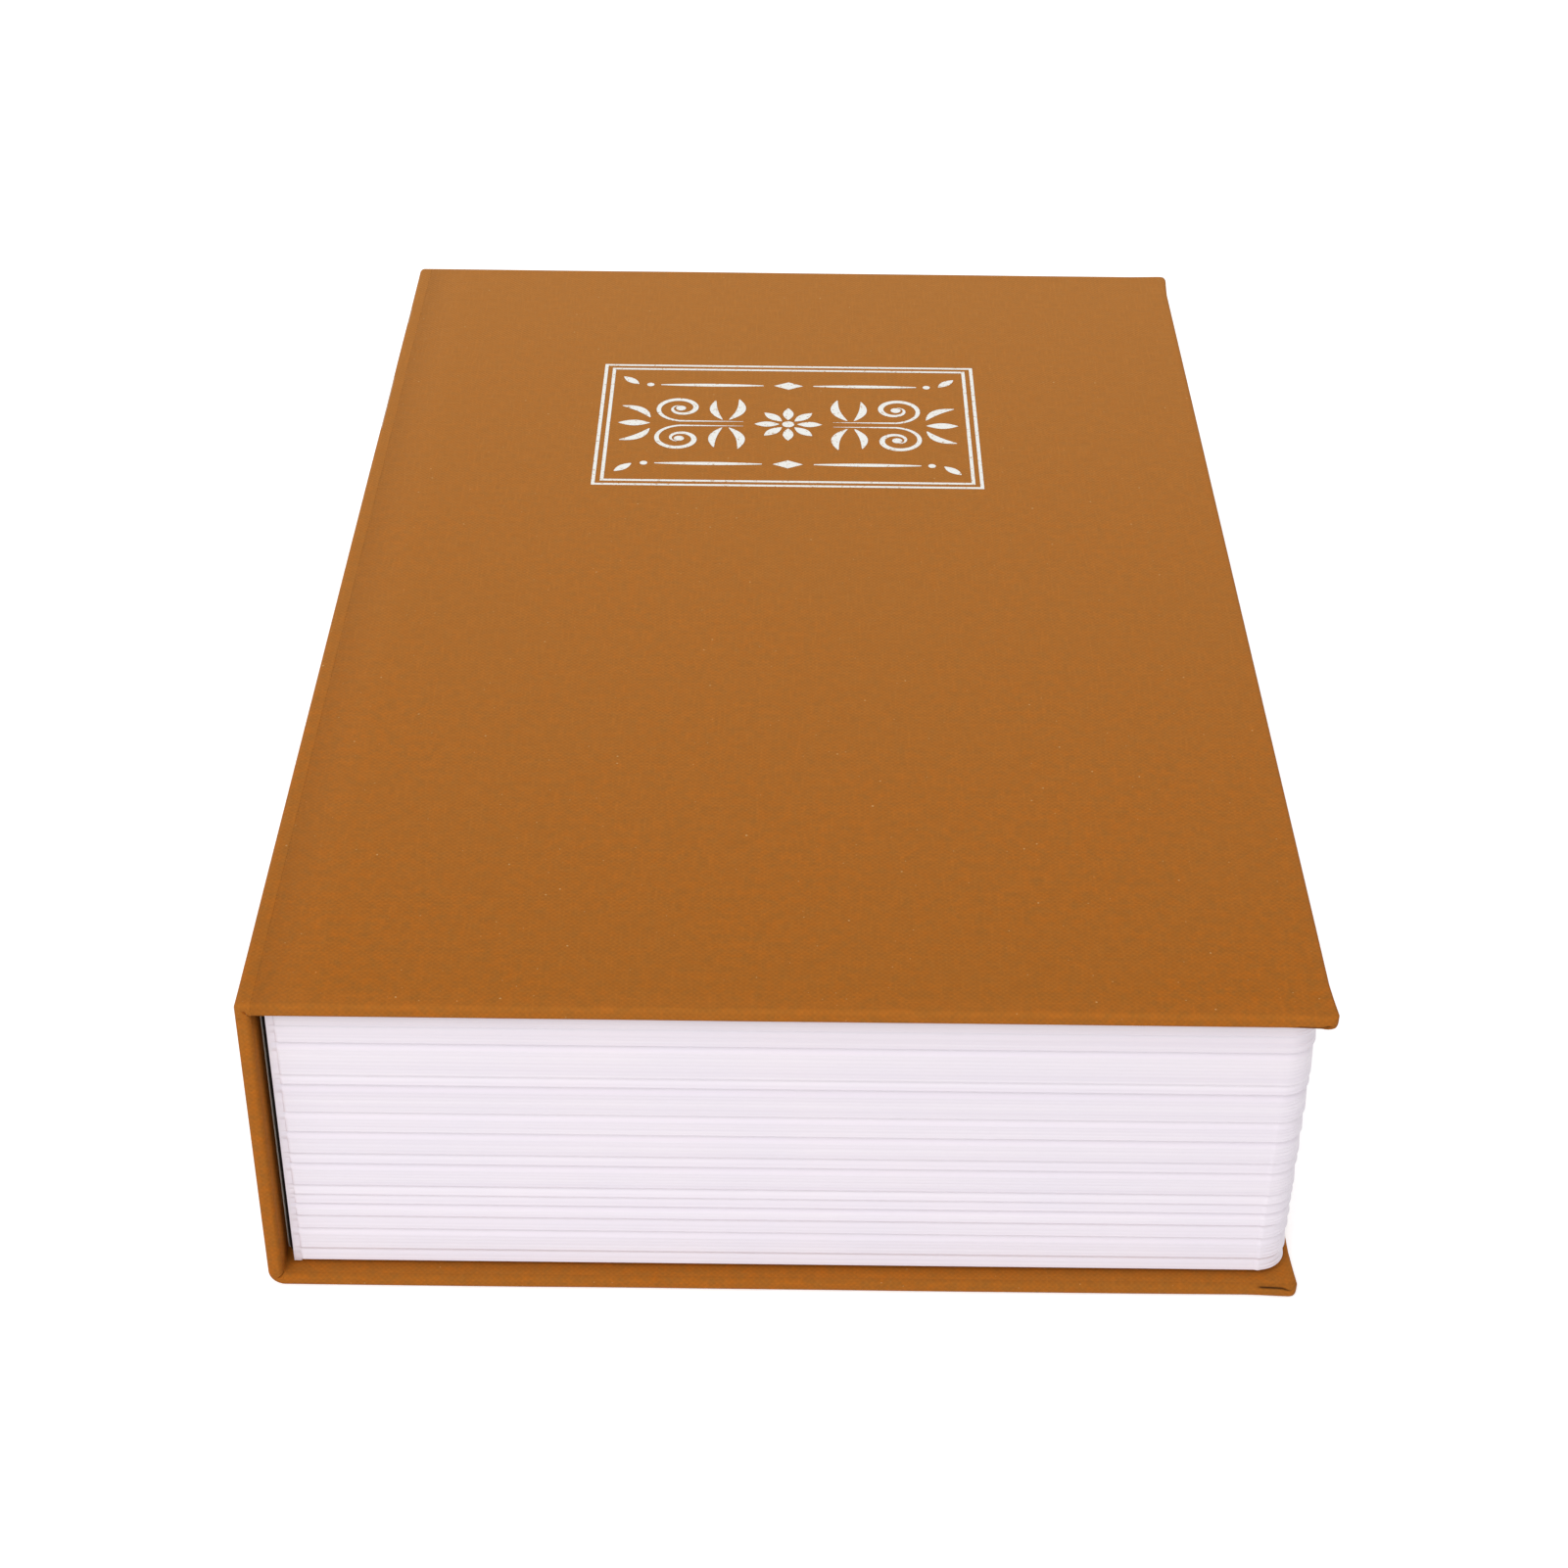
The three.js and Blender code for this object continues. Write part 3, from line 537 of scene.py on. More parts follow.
def foil():
    """Silver hot foil, broken a little where the cloth's threads lie low."""
    n = Nodes("foil")
    place = n.body_place()
    gaps = n.noise(place, 1900.0, 2.0)
    tone = n.blend(n.rescale(gaps, 0.6, 0.72), linear(243, 243, 238), linear(196, 158, 112))
    rough = n.spread(gaps, 0.3, 0.5)
    relief = n.bump(gaps, 0.00002, 0.4)
    return n.finish(Base_Color=tone, Metallic=0.55, Roughness=rough, Normal=relief)


def endpaper():
    """Cream paper with fine fibres."""
    n = Nodes("endpaper")
    place = n.body_place()
    fibre = n.noise(place, 2600.0, 4.0, 0.7)
    cloud = n.noise(place, 45.0, 3.0)
    colour = n.blend(n.spread(cloud), linear(233, 227, 214), linear(239, 234, 222))
    flecks = n.blend(n.rescale(fibre, 0.62, 0.75, 0.0, 0.3), colour, linear(206, 196, 176))
    return n.finish(Base_Color=flecks, Roughness=0.85, Normal=n.bump(fibre, 0.00003, 0.35))


def grey_board():
    """Raw grey board, speckled and fibrous."""
    n = Nodes("grey_board")
    place = n.body_place()
    fibre = n.noise(place, 1500.0, 6.0, 0.75)
    colour = n.blend(n.spread(fibre), linear(138, 128, 114), linear(170, 160, 144))
    return n.finish(Base_Color=colour, Roughness=0.95, Normal=n.bump(fibre, 0.00008, 0.5))


def black_steel():
    """Black powder coat with its fine orange peel."""
    n = Nodes("black_steel")
    place = n.body_place()
    peel = n.noise(place, 700.0, 1.0)
    dust = n.noise(place, 3000.0, 3.0, 0.7)
    colour = n.blend(n.rescale(dust, 0.4, 0.8), linear(27, 27, 28), linear(40, 40, 41))
    rough = n.spread(dust, 0.42, 0.55)
    return n.finish(Base_Color=colour, Roughness=rough, Normal=n.bump(peel, 0.00006, 0.35))


def rolled_steel(name, colour_low, colour_high, rough_low, rough_high, along):
    """Bare steel with a grain that runs one way."""
    n = Nodes(name)
    place = n.body_place()
    grain = n.noise(n.stretch(place, along), 1.0, 4.0, 0.6)
    cloud = n.noise(place, 180.0, 3.0)
    colour = n.blend(n.spread(cloud), colour_low, colour_high)
    rough = n.spread(grain, rough_low, rough_high)
    relief = n.bump(grain, 0.000012, 0.3)
    return n.finish(Base_Color=colour, Metallic=1.0, Roughness=rough, Normal=relief)


def lock_chrome():
    """Polished chrome with faint handling marks."""
    n = Nodes("lock_chrome")
    place = n.body_place()
    marks = n.noise(n.stretch(place, (900, 240, 300)), 1.0, 5.0, 0.65)
    rough = n.rescale(marks, 0.35, 0.75, 0.07, 0.2)
    tone = n.blend(n.spread(marks), linear(222, 224, 228), linear(232, 233, 236))
    relief = n.bump(marks, 0.000004, 0.2)
    return n.finish(Base_Color=tone, Metallic=1.0, Roughness=rough, Normal=relief)


# The case: one wall from the front cover's fore-edge round the spine to the back cover's

COVER_RUN = FORE_X - JOINT_X
ARC_RUN = JOINT_RADIUS * math.pi / 2
UPPER_SIDE = JOINT_RADIUS - UPPER_CORNER
UPPER_ARC_RUN = 2 * UPPER_SIDE + UPPER_CORNER * math.pi / 2
SPINE_RUN = UPPER_JOINT_Z - JOINT_RADIUS
SPINE_START_RUN = COVER_RUN + UPPER_ARC_RUN
LOWER_JOINT_RUN = SPINE_START_RUN + SPINE_RUN
BACK_START_RUN = LOWER_JOINT_RUN + ARC_RUN
CASE_RUN = BACK_START_RUN + COVER_RUN
EDGE_HALF = WRAP / 2 - EDGE_RADIUS


def upper_corner(run):
    """The upper joint's outer surface: flat, tightly round its corner, then down the spine."""
    if run < UPPER_SIDE:
        return Vector((JOINT_X - run, TOP_Z))
    if run > UPPER_ARC_RUN - UPPER_SIDE:
        return Vector((SPINE_X, UPPER_JOINT_Z + UPPER_ARC_RUN - run))
    turn = math.pi / 2 + (run - UPPER_SIDE) / UPPER_CORNER
    centre = Vector((SPINE_X + UPPER_CORNER, TOP_Z - UPPER_CORNER))
    return centre + UPPER_CORNER * heading(turn)


def case_place(run):
    """The outer surface at this distance along the case: its place and the way out, in X and Z.

    The way out is as long as the wall there is thick, over the wall's usual thickness.
    """
    if run <= COVER_RUN:
        return Vector((FORE_X - run, TOP_Z)), Vector((0, 1))
    if run <= SPINE_START_RUN:
        outer = upper_corner(run - COVER_RUN)
        turn = math.pi / 2 * (1 + (run - COVER_RUN) / UPPER_ARC_RUN)
        inner = Vector((JOINT_X, UPPER_JOINT_Z)) + (JOINT_RADIUS - WRAP) * heading(turn)
        return outer, (outer - inner) / WRAP
    if run <= LOWER_JOINT_RUN:
        return Vector((SPINE_X, UPPER_JOINT_Z - (run - SPINE_START_RUN))), Vector((-1, 0))
    if run <= BACK_START_RUN:
        out = heading(math.pi + (run - LOWER_JOINT_RUN) / JOINT_RADIUS)
        return Vector((JOINT_X, JOINT_RADIUS)) + JOINT_RADIUS * out, out
    return Vector((JOINT_X + run - BACK_START_RUN, 0)), Vector((0, -1))


def bell(distance, width):
    """1 at distance zero, falling off within about two widths."""
    return math.exp(-((distance / width) ** 2))


def ease(value):
    """A smooth step from 0 to 1."""
    share = min(max(value, 0.0), 1.0)
    return share * share * (3 - 2 * share)


def face_places():
    """Distances along a face of the wall from one end's rounding to the other's."""
    reach = END_Y - EDGE_RADIUS
    inner = END_Y - TURN_IN
    count = round(2 * inner / FACE_SPAN)
    middle = [-inner + 2 * inner * k / count for k in range(count + 1)]
    low = [-reach + (reach - inner) * k / TURN_IN_STEPS for k in range(TURN_IN_STEPS)]
    return low + middle + [-y for y in reversed(low)]


def wall_ring(inset):
    """The wall's section at one place, as a closed ring of points.

    It starts at the middle of the inner face, and goes round by the tail edge, the outer face and the
    head edge. A point is where it lies (the inner face, an edge or the outer face), its height over
    the wall's middle and its place along the book.
    """
    half = EDGE_HALF
    reach = END_Y - EDGE_RADIUS
    radius = EDGE_RADIUS - inset
    places = face_places()
    tail = [y for y in places if y < 0]
    heights = [-half + 2 * half * k / FLAT_STEPS for k in range(1, FLAT_STEPS)]

    def rounding(height, y, start):
        turned = arc((0, 0), 1, start, start + 90, CORNER_STEPS)
        return [("edge", height + radius * c, y + radius * s) for c, s in turned]

    ring = [("inner", -half - radius, y) for y in reversed(tail[1:])]
    ring += rounding(-half, -reach, 180)
    ring += [("edge", height, -reach - radius) for height in heights]
    ring += rounding(half, -reach, 270)
    ring += [("outer", half + radius, y) for y in places[1:-1]]
    ring += rounding(half, reach, 0)
    ring += [("edge", -height, reach + radius) for height in heights]
    ring += rounding(-half, reach, 90)
    ring += [("inner", -half - radius, -y) for y in tail[1:]]
    return ring


def crease(run, height):
    """How far the cloth's end edge sinks at a mitre, with a small lip on each side.

    The mitre fades out at the outer face.
    """
    depth = 0.0
    inward = ease((EDGE_HALF - height) / (2 * EDGE_HALF))
    for middle in (COVER_RUN + UPPER_ARC_RUN / 2, LOWER_JOINT_RUN + ARC_RUN / 2):
        off = run - middle
        lips = bell(off - LIP_WIDTH, LIP_WIDTH / 2) + bell(off + LIP_WIDTH, LIP_WIDTH / 2)
        depth += CREASE_DEPTH * bell(off, CREASE_WIDTH) - LIP_HEIGHT * lips
    return depth * inward


def corner_fold(run, height):
    """The end edge near a fore-edge corner, where one turn-in laps the other.

    It gives how far the edge bulges and its share of the slit, which sinks the edge and is painted
    dark as shade. The flap above the slit bulges a little more than the cloth below it.
    """
    from_end = min(run, CASE_RUN - run)
    fade = ease((FOLD_STOP - from_end) / FOLD_FADE + 0.5)
    fade *= ease((from_end - FOLD_START) / FOLD_FADE + 0.5)
    middle = FOLD_PLACE + FOLD_TURN * ease((FOLD_START + FOLD_FADE - from_end) / FOLD_FADE)
    bulge = EAR_SIDE * ease((EAR_LENGTH - from_end) / EAR_LENGTH)
    bulge += FLAP * fade * ease((middle - height) / FOLD_WIDTH)
    return bulge, fade * bell(height - middle, FOLD_WIDTH)


def corner_place(run, x, y):
    """Where a ring's point goes in plan, with the fore-edge corners rounded and drawn out."""
    from_end = min(run, CASE_RUN - run)
    start = END_Y - CORNER_RADIUS
    if abs(y) > start and from_end < CORNER_RADIUS:
        narrow = math.sqrt(1 - (1 - from_end / CORNER_RADIUS) ** 2)
        y = math.copysign(start + (abs(y) - start) * narrow, y)
    near = ease((abs(y) - END_Y + EAR_LENGTH) / EAR_LENGTH)
    return x + EAR_OUT * near * ease(1 - from_end / EAR_LENGTH), y


def wave(*place):
    """The slight unevenness of glued cloth at a place."""
    return WAVE_HEIGHT * noise.noise(Vector(place) / WAVE_LENGTH)


def wall_piece(name, stations, turned_in=True):
    """A stretch of the case's cloth, turned in round the boards unless turned_in is false.

    A station is a distance along the case, how much smaller the edge's rounding is there, and the
    share of the wall's thickness.
    """
    rings = [wall_ring(inset) for _, inset, _ in stations]
    points, places, wear_and_shade_rows = [], [], []
    for (run, _, spread), ring in zip(stations, rings):
        outer, out = case_place(run)
        row, around, wear_and_shade = [], [0.0], []
        for kind, height, y in ring:
            rub_and_shade = edge_wear(run, height, y)
            if kind == "edge" and abs(y) > END_Y - EDGE_RADIUS:
                bulge, slit = corner_fold(run, height)
                sink = slit * (bulge + FOLD_DEPTH) * spread
                lean = (height - min(max(height, -EDGE_HALF), EDGE_HALF)) / EDGE_RADIUS
                level_end = (crease(run, height) - bulge) * spread - wave(run, height, y)
                along = math.sqrt(max(1 - lean * lean, 0.0))
                y -= math.copysign(1.0, y) * (level_end + sink * along)
                height -= sink * lean
                # Below zero is painted shade: fully dark in the corner slit, and a little darker
                # along every end edge
                rub_and_shade = rub_and_shade * (1 - slit) - slit - PAINTED_END_SHADE
            lift = wave(outer.x, y, outer.y) if kind == "outer" else 0.0
            level = outer - out * (WRAP / 2 - height * spread - min(lift, 0.0))
            x, y = corner_place(run, level.x, y)
            row.append(Vector((x, y, level.y)))
            wear_and_shade.append(rub_and_shade)
        for a, b in zip(row, row[1:] + row[:1]):
            around.append(around[-1] + (b - a).length)
        middle = around[len(ring) // 2]
        points.append(row)
        places.append([(run, t - middle) for t in around])
        wear_and_shade_rows.append(wear_and_shade)

    def keep(i, j):
        ring = rings[i]
        following = ring[(j + 1) % len(ring)]
        mid_run = (stations[i][0] + stations[i + 1][0]) / 2
        mid_y = (ring[j][2] + following[2]) / 2
        on_inner = ring[j][0] == "inner" or following[0] == "inner"
        in_window = abs(mid_y) < END_Y - TURN_IN and TURN_IN < mid_run < CASE_RUN - TURN_IN
        return not on_inner or (turned_in and not in_window)

    piece = grid_piece(name, points, places, closed=True, keep=keep, values=wear_and_shade_rows)
    thicken(piece, CLOTH, -1)
    piece.data.materials.append(CLOTH_FINISH)
    return piece


def edge_wear(run, height, y):
    """How much the cloth is rubbed: most on an edge's outer rounding, and not on the faces."""
    across = bell(abs(y) - (END_Y - EDGE_RADIUS / 2), EDGE_RADIUS)
    from_end = min(run, CASE_RUN - run)
    along = bell(from_end - EDGE_RADIUS / 2, EDGE_RADIUS)
    outward = ease(0.5 + height / WRAP)
    return max(across, along) * outward


def cover_stations():
    """Distances from a fore-edge to its joint, with the rounded end first."""
    stations = [(0.0, EDGE_RADIUS, 0.0)]
    for across, along in arc((1, 1), 1, 270, 180, CORNER_STEPS):
        stations.append((EDGE_RADIUS * along, EDGE_RADIUS * across, 1.0))
    folds = round(EAR_LENGTH / FOLD_STEP)
    stations += [(EDGE_RADIUS + FOLD_STEP * k, 0.0, 1.0) for k in range(1, folds + 1)]
    spans = round((COVER_RUN - TURN_IN) / FACE_SPAN)
    for stop, count in ((TURN_IN, TURN_IN_STEPS), (COVER_RUN, spans)):
        start = stations[-1][0]
        stations += [(start + (stop - start) * k / count, 0.0, 1.0) for k in range(1, count + 1)]
    return stations


def front_cover_wrap():
    """The front cover's cloth."""
    piece = wall_piece("front_cover_cloth_wrap", cover_stations())
    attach(piece, "cover")
    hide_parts("front_cover_cloth")


def bend_over_joint(piece):
    """Makes a piece's modifiers part of its mesh and moves its place into its points."""
    apply_modifiers(piece)
    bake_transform(piece)


def joint_wrap():
    """The cloth of the upper joint."""
    runs = [COVER_RUN + UPPER_ARC_RUN * k / JOINT_STEPS for k in range(JOINT_STEPS + 1)]
    stations = [(run, 0.0, 1.0) for run in runs]
    piece = wall_piece("front_joint_cloth_wrap", stations, turned_in=False)
    bend_over_joint(piece)
    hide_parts("front_joint_cloth")


def case_wrap():
    """The cloth of the spine, the lower joint and the back cover."""
    count = round(SPINE_RUN / FACE_SPAN)
    runs = [SPINE_START_RUN + SPINE_RUN * k / count for k in range(count + 1)]
    runs += [LOWER_JOINT_RUN + ARC_RUN * k / JOINT_STEPS for k in range(1, JOINT_STEPS)]
    stations = [(run, 0.0, 1.0) for run in runs]
    for run, inset, spread in reversed(cover_stations()):
        stations.append((CASE_RUN - run, inset, spread))
    piece = wall_piece("case_cloth_wrap", stations)
    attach(piece, "base")
    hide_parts("case_cloth")


def joint_strip(name, first_x, last_z, ends, finish):
    """A strip that lines the groove between the spine's board and the cover's board.

    It runs over the spine board's end, under the joint's cloth and over the cover board's end. At the
    joint's middle its tip reaches into the cloth, so that it covers the fold of the opened joint.
    """
    radius = JOINT_RADIUS - CLOTH - LINING_ROOM
    lean = math.degrees(math.asin(LINING_ROOM / radius))
    line = [(first_x - LINING_ROOM, UPPER_JOINT_Z + LINING_ROOM)]
    curve = arc((JOINT_X, UPPER_JOINT_Z), radius, 180 - lean, 90 + lean, LINING_STEPS)
    corner = (JOINT_X - UPPER_SIDE, UPPER_JOINT_Z + UPPER_SIDE)
    first, last = JOINT_MIDDLE + LINING_TIP_SPREAD, JOINT_MIDDLE - LINING_TIP_SPREAD
    tip = arc(corner, UPPER_CORNER - LINING_TIP_ROOM, first, last, 1)
    middle = len(curve) // 2
    line += curve[:middle] + tip + curve[middle:]
    line.append((JOINT_X - LINING_ROOM, last_z + LINING_ROOM))
    piece = grid_piece(name, [[Vector((x, y, z)) for y in ends] for x, z in line])
    thicken(piece, LINING_ROOM, 0)
    piece.data.materials.append(finish)
    bend_over_joint(piece)


def joint_lining():
    """The lining of the upper joint's groove: paper, and turned-in cloth at both ends."""
    low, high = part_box("front_endpaper")
    paper_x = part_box("spine_lining")[1].x
    joint_strip("joint_lining", paper_x, low.z, (low.y, high.y), PAPER_FINISH)
    inner = JOINT_RADIUS - WRAP
    for end, y in (("tail", low.y), ("head", high.y)):
        ends = (y, math.copysign(END_Y - EDGE_RADIUS, y))
        name = "joint_turn_in_" + end
        joint_strip(name, JOINT_X - inner, UPPER_JOINT_Z + inner, ends, CLOTH_FINISH)


def front_paper():
    """The paper pasted inside the front cover.

    It sinks a little where the turned-in cloth ends under it.
    """
    low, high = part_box("front_endpaper")
    inner = TURN_IN + CLOTH

    def places(start, stop, first, last):
        line = [start]
        for middle in (first, last):
            line += [middle + PAPER_STEP * (share - 0.5) for share in shares(PAPER_STEPS)]
        return line + [stop]

    xs = places(low.x, high.x, JOINT_X + PAPER_STEP, FORE_X - inner)
    ys = places(low.y, high.y, -END_Y + inner, END_Y - inner)
    points = []
    for x in xs:
        sunk_x = ease((FORE_X - inner - x) / PAPER_STEP + 0.5)
        sunk_x *= ease((x - JOINT_X - PAPER_STEP) / PAPER_STEP + 0.5)
        row = []
        for y in ys:
            sunk = CLOTH * sunk_x * ease((END_Y - inner - abs(y)) / PAPER_STEP + 0.5)
            row.append(Vector((x, y, low.z + sunk)))
        points.append(row)
    piece = grid_piece("front_paper", points)
    thicken(piece, PAPER, 1)
    piece.data.materials.append(PAPER_FINISH)
    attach(piece, "cover")
    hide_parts("front_endpaper")


# The moulded page block


def rounded(points, rounds=2, share=0.22):
    """An open line with its corners cut round."""
    for _ in range(rounds):
        cut_line = [points[0]]
        for (ax, ay), (bx, by) in zip(points, points[1:]):
            cut_line.append((ax + (bx - ax) * share, ay + (by - ay) * share))
            cut_line.append((bx - (bx - ax) * share, by - (by - ay) * share))
        points = cut_line + [points[-1]]
    return points


def ribbed_face(line_depth):
    """The page block's outer face from foot to top, as depth and height points."""
    foot, top = PAGES_LOW.z, PAGES_HIGH.z
    grooves = [(foot, FOOT_DEPTH), (top, EDGE_DEPTH)]
    for heights, depth in ((FINE_SHARES, FINE_GROOVE), (DEEP_SHARES, DEEP_GROOVE)):
        grooves += [(foot + share * (top - foot), depth) for share in heights]
    grooves.sort()
    face = []
    for (low, depth), (high, _) in zip(grooves, grooves[1:]):
        limit = (high - low) * RIB_RUN
        shoulder = high - min(SHOULDER_RUN, limit)
        crest = low + min(CREST_RUN, limit)
        face += [(depth, low), (0.0, crest)]
        lines = max(1, round((shoulder - crest) / PAGE_LINE_PITCH)) * 2
        for k in range(1, lines):
            share = k / lines
            relief = line_depth * (k % 2)
            face.append((SHOULDER_DEPTH * share + relief, crest + (shoulder - crest) * share))
        face.append((SHOULDER_DEPTH, shoulder))
    face.append((EDGE_DEPTH, top))
    return rounded(face)


def page_stations():
    """Places along the page wall from the spine end of the tail to the spine end of the head.

    Each has its place, the way out, the mitre that the rim follows past a corner's centre, the ribs'
    relief, the page lines' relief and the height of the mould's ridge.
    """
    low, high = PAGES_LOW, PAGES_HIGH
    out, corner_start = Vector((0, -1)), high.x - PAGE_CORNER
    plain = PAGE_LINE_STRAIGHT
    tail = [(Vector((low.x, low.y)), out, out, 0.0, 0.0, 0.0)]
    for share in shares(RIB_END_STEPS):
        relief = math.sqrt(1 - (1 - share) ** 2)
        place = Vector((low.x + MARGIN_WIDTH + share * RIB_END, low.y))
        tail.append((place, out, out, relief, plain * relief, 0.0))
    start, stop = tail[-1][0].x, corner_start - PAGE_RIDGE_REACH * PAGE_RIDGE_WIDTH
    count = PAGE_SIDE_STEPS
    xs = [start + (stop - start) * k / count for k in range(1, count + 1)]
    xs += [stop + PAGE_RIDGE_WIDTH / 2 * k for k in range(1, 2 * PAGE_RIDGE_REACH)]
    past = RIM_WIDTH - PAGE_CORNER
    for x in xs:
        mitre = Vector((max(0.0, 1 - (corner_start - x) / past), -1))
        ridge = bell(x - corner_start, PAGE_RIDGE_WIDTH)
        tail.append((Vector((x, low.y)), out, mitre, 1.0, plain, ridge))
    centre = Vector((corner_start, low.y + PAGE_CORNER))
    flip = Vector((1, -1))
    for step, place in enumerate(arc((0, 0), 1, -90, 0, PAGE_CORNER_STEPS)):
        turned = Vector(place)
        run = PAGE_CORNER * math.pi / 2 * step / PAGE_CORNER_STEPS
        lines = plain + (1 - plain) * ease(run / PAGE_CORNER * 2)
        ridge = bell(run, PAGE_RIDGE_WIDTH)
        tail.append((centre + PAGE_CORNER * turned, turned, flip, 1.0, lines, ridge))
    head = []
    for place, turned, mitre, *rest in reversed(tail):
        head.append((place * flip, turned * flip, mitre * flip, *rest))
    return tail + head


def page_block():
    """The ribbed wall of moulded pages, swept round three sides of the box."""
    foot, top = PAGES_LOW.z, PAGES_HIGH.z
    plain_face, lined_face = ribbed_face(0.0), ribbed_face(PAGE_LINE_DEPTH)
    rings = []
    for place, out, mitre, relief, lines, ridge in page_stations():
        section = [(PAGE_WALL, top - RIM_THICKNESS), (PAGE_WALL, foot)]
        for (plain, z), (lined, _) in zip(plain_face, lined_face):
            depth = MARGIN_DEPTH + (plain - MARGIN_DEPTH) * relief + (lined - plain) * lines
            section.append((depth - PAGE_RIDGE * ridge * ease((top - z) / (top - foot)), z))
        section += [(RIM_WIDTH, top), (RIM_WIDTH, top - RIM_THICKNESS)]
        ring = []
        for depth, z in section:
            along = place - out * min(depth, PAGE_CORNER) - mitre * max(depth - PAGE_CORNER, 0.0)
            ring.append(Vector((along.x, along.y, z)))
        rings.append(ring)
    count = len(rings[0])
    faces = band_faces(len(rings), count, joined=False)
    last = (len(rings) - 1) * count
    faces.append(tuple(reversed(range(count))))
    faces.append(tuple(range(last, last + count)))
    piece = solid_piece("page_block_moulding", [p for ring in rings for p in ring], faces)
    smooth(piece, degrees=60)
    piece.data.materials.append(PLASTIC_FINISH)
    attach(piece, "base")
    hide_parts("page_block")


# Foil on the front cover


class Foil:
    """Flat foil shapes, gathered into one piece. Each new layer lies a hair above the last."""

    def __init__(self):
        self.points = []
        self.faces = []
        self.level = TOP_Z + FOIL_LIFT

    def next_layer(self):
        self.level += FOIL_STEP

    def put(self, place):
        self.points.append((place[0], place[1], self.level))

    def stroke(self, line, widest, tip=STROKE_TIP):
        """A band that swells towards its middle. Its ends keep the share tip of its half width."""
        start, last = len(self.points), len(line) - 1
        for k, place in enumerate(line):
            along = (line[min(k + 1, last)] - line[max(k - 1, 0)]).normalized()
            swell = math.sin(math.pi * k / last) ** STROKE_POWER
            side = Vector((-along.y, along.x)) * (widest * (tip + (1 - tip) * swell))
            self.put(place - side)
            self.put(place + side)
        for a in range(start, start + 2 * last, 2):
            self.faces.append((a, a + 2, a + 3, a + 1))

    def shape(self, outline):
        """A convex outline, filled."""
        start = len(self.points)
        for place in outline:
            self.put(place)
        self.faces.append(tuple(range(start, start + len(outline))))

    def rule_frame(self, inset):
        """A rectangular rule with mitred corners, this far inside the outermost one."""
        start = len(self.points)
        for grow in (inset, inset + RULE_WIDTH):
            x0, y0 = FRAME_LOW.x + grow, FRAME_LOW.y + grow
            x1, y1 = FRAME_HIGH.x - grow, FRAME_HIGH.y - grow
            for place in ((x0, y0), (x1, y0), (x1, y1), (x0, y1)):
                self.put(place)
        for k in range(4):
            following = (k + 1) % 4
            self.faces.append((start + k, start + following, start + 4 + following, start + 4 + k))

    def piece(self, name):
        mesh = bpy.data.meshes.new(name)
        mesh.from_pydata(self.points, [], self.faces)
        edit_mesh(mesh, face_up)
        made = make_object(name, mesh)
        thicken(made, FOIL_THICKNESS, 1)
        mesh.materials.append(FOIL_FINISH)
        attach(made, "cover")


def title_frame():
    """The double rule on the front cover."""
    art = Foil()
    for inset in (0.0, RULE_PITCH):
        art.rule_frame(inset)
    art.piece("title_frame")


def bowed(start, end, bow):
    """Points from start to end, bowed to the left by this much in the middle."""
    along = end - start
    side = Vector((-along.y, along.x)).normalized() * bow
    parts = shares(STROKE_STEPS)
    return [start + along * share + side * math.sin(math.pi * share) for share in parts]


def scroll():
    """A straight stem that runs under the scroll's centre and winds up round it to its eye."""
    foot = SCROLL_CENTRE - Vector((0, SCROLL_RADIUS))
    line = [SCROLL_START + (foot - SCROLL_START) * k / STEM_STEPS for k in range(STEM_STEPS)]
    for share in shares(SCROLL_STEPS):
        turn = -math.pi / 2 + 2 * math.pi * SCROLL_TURNS * share
        reach = SCROLL_RADIUS + (SCROLL_EYE - SCROLL_RADIUS) * share**SCROLL_POWER
        line.append(SCROLL_CENTRE + reach * heading(turn))
    return line


def round_dot(centre, radius):
    """A circle's outline."""
    turns = [2 * math.pi * k / STROKE_STEPS for k in range(STROKE_STEPS)]
    return [centre + radius * heading(turn) for turn in turns]


def lozenge(centre):
    """A diamond's outline."""
    corners = ((LOZENGE_X, 0), (0, LOZENGE_Y), (-LOZENGE_X, 0), (0, -LOZENGE_Y))
    return [centre + Vector(corner) for corner in corners]


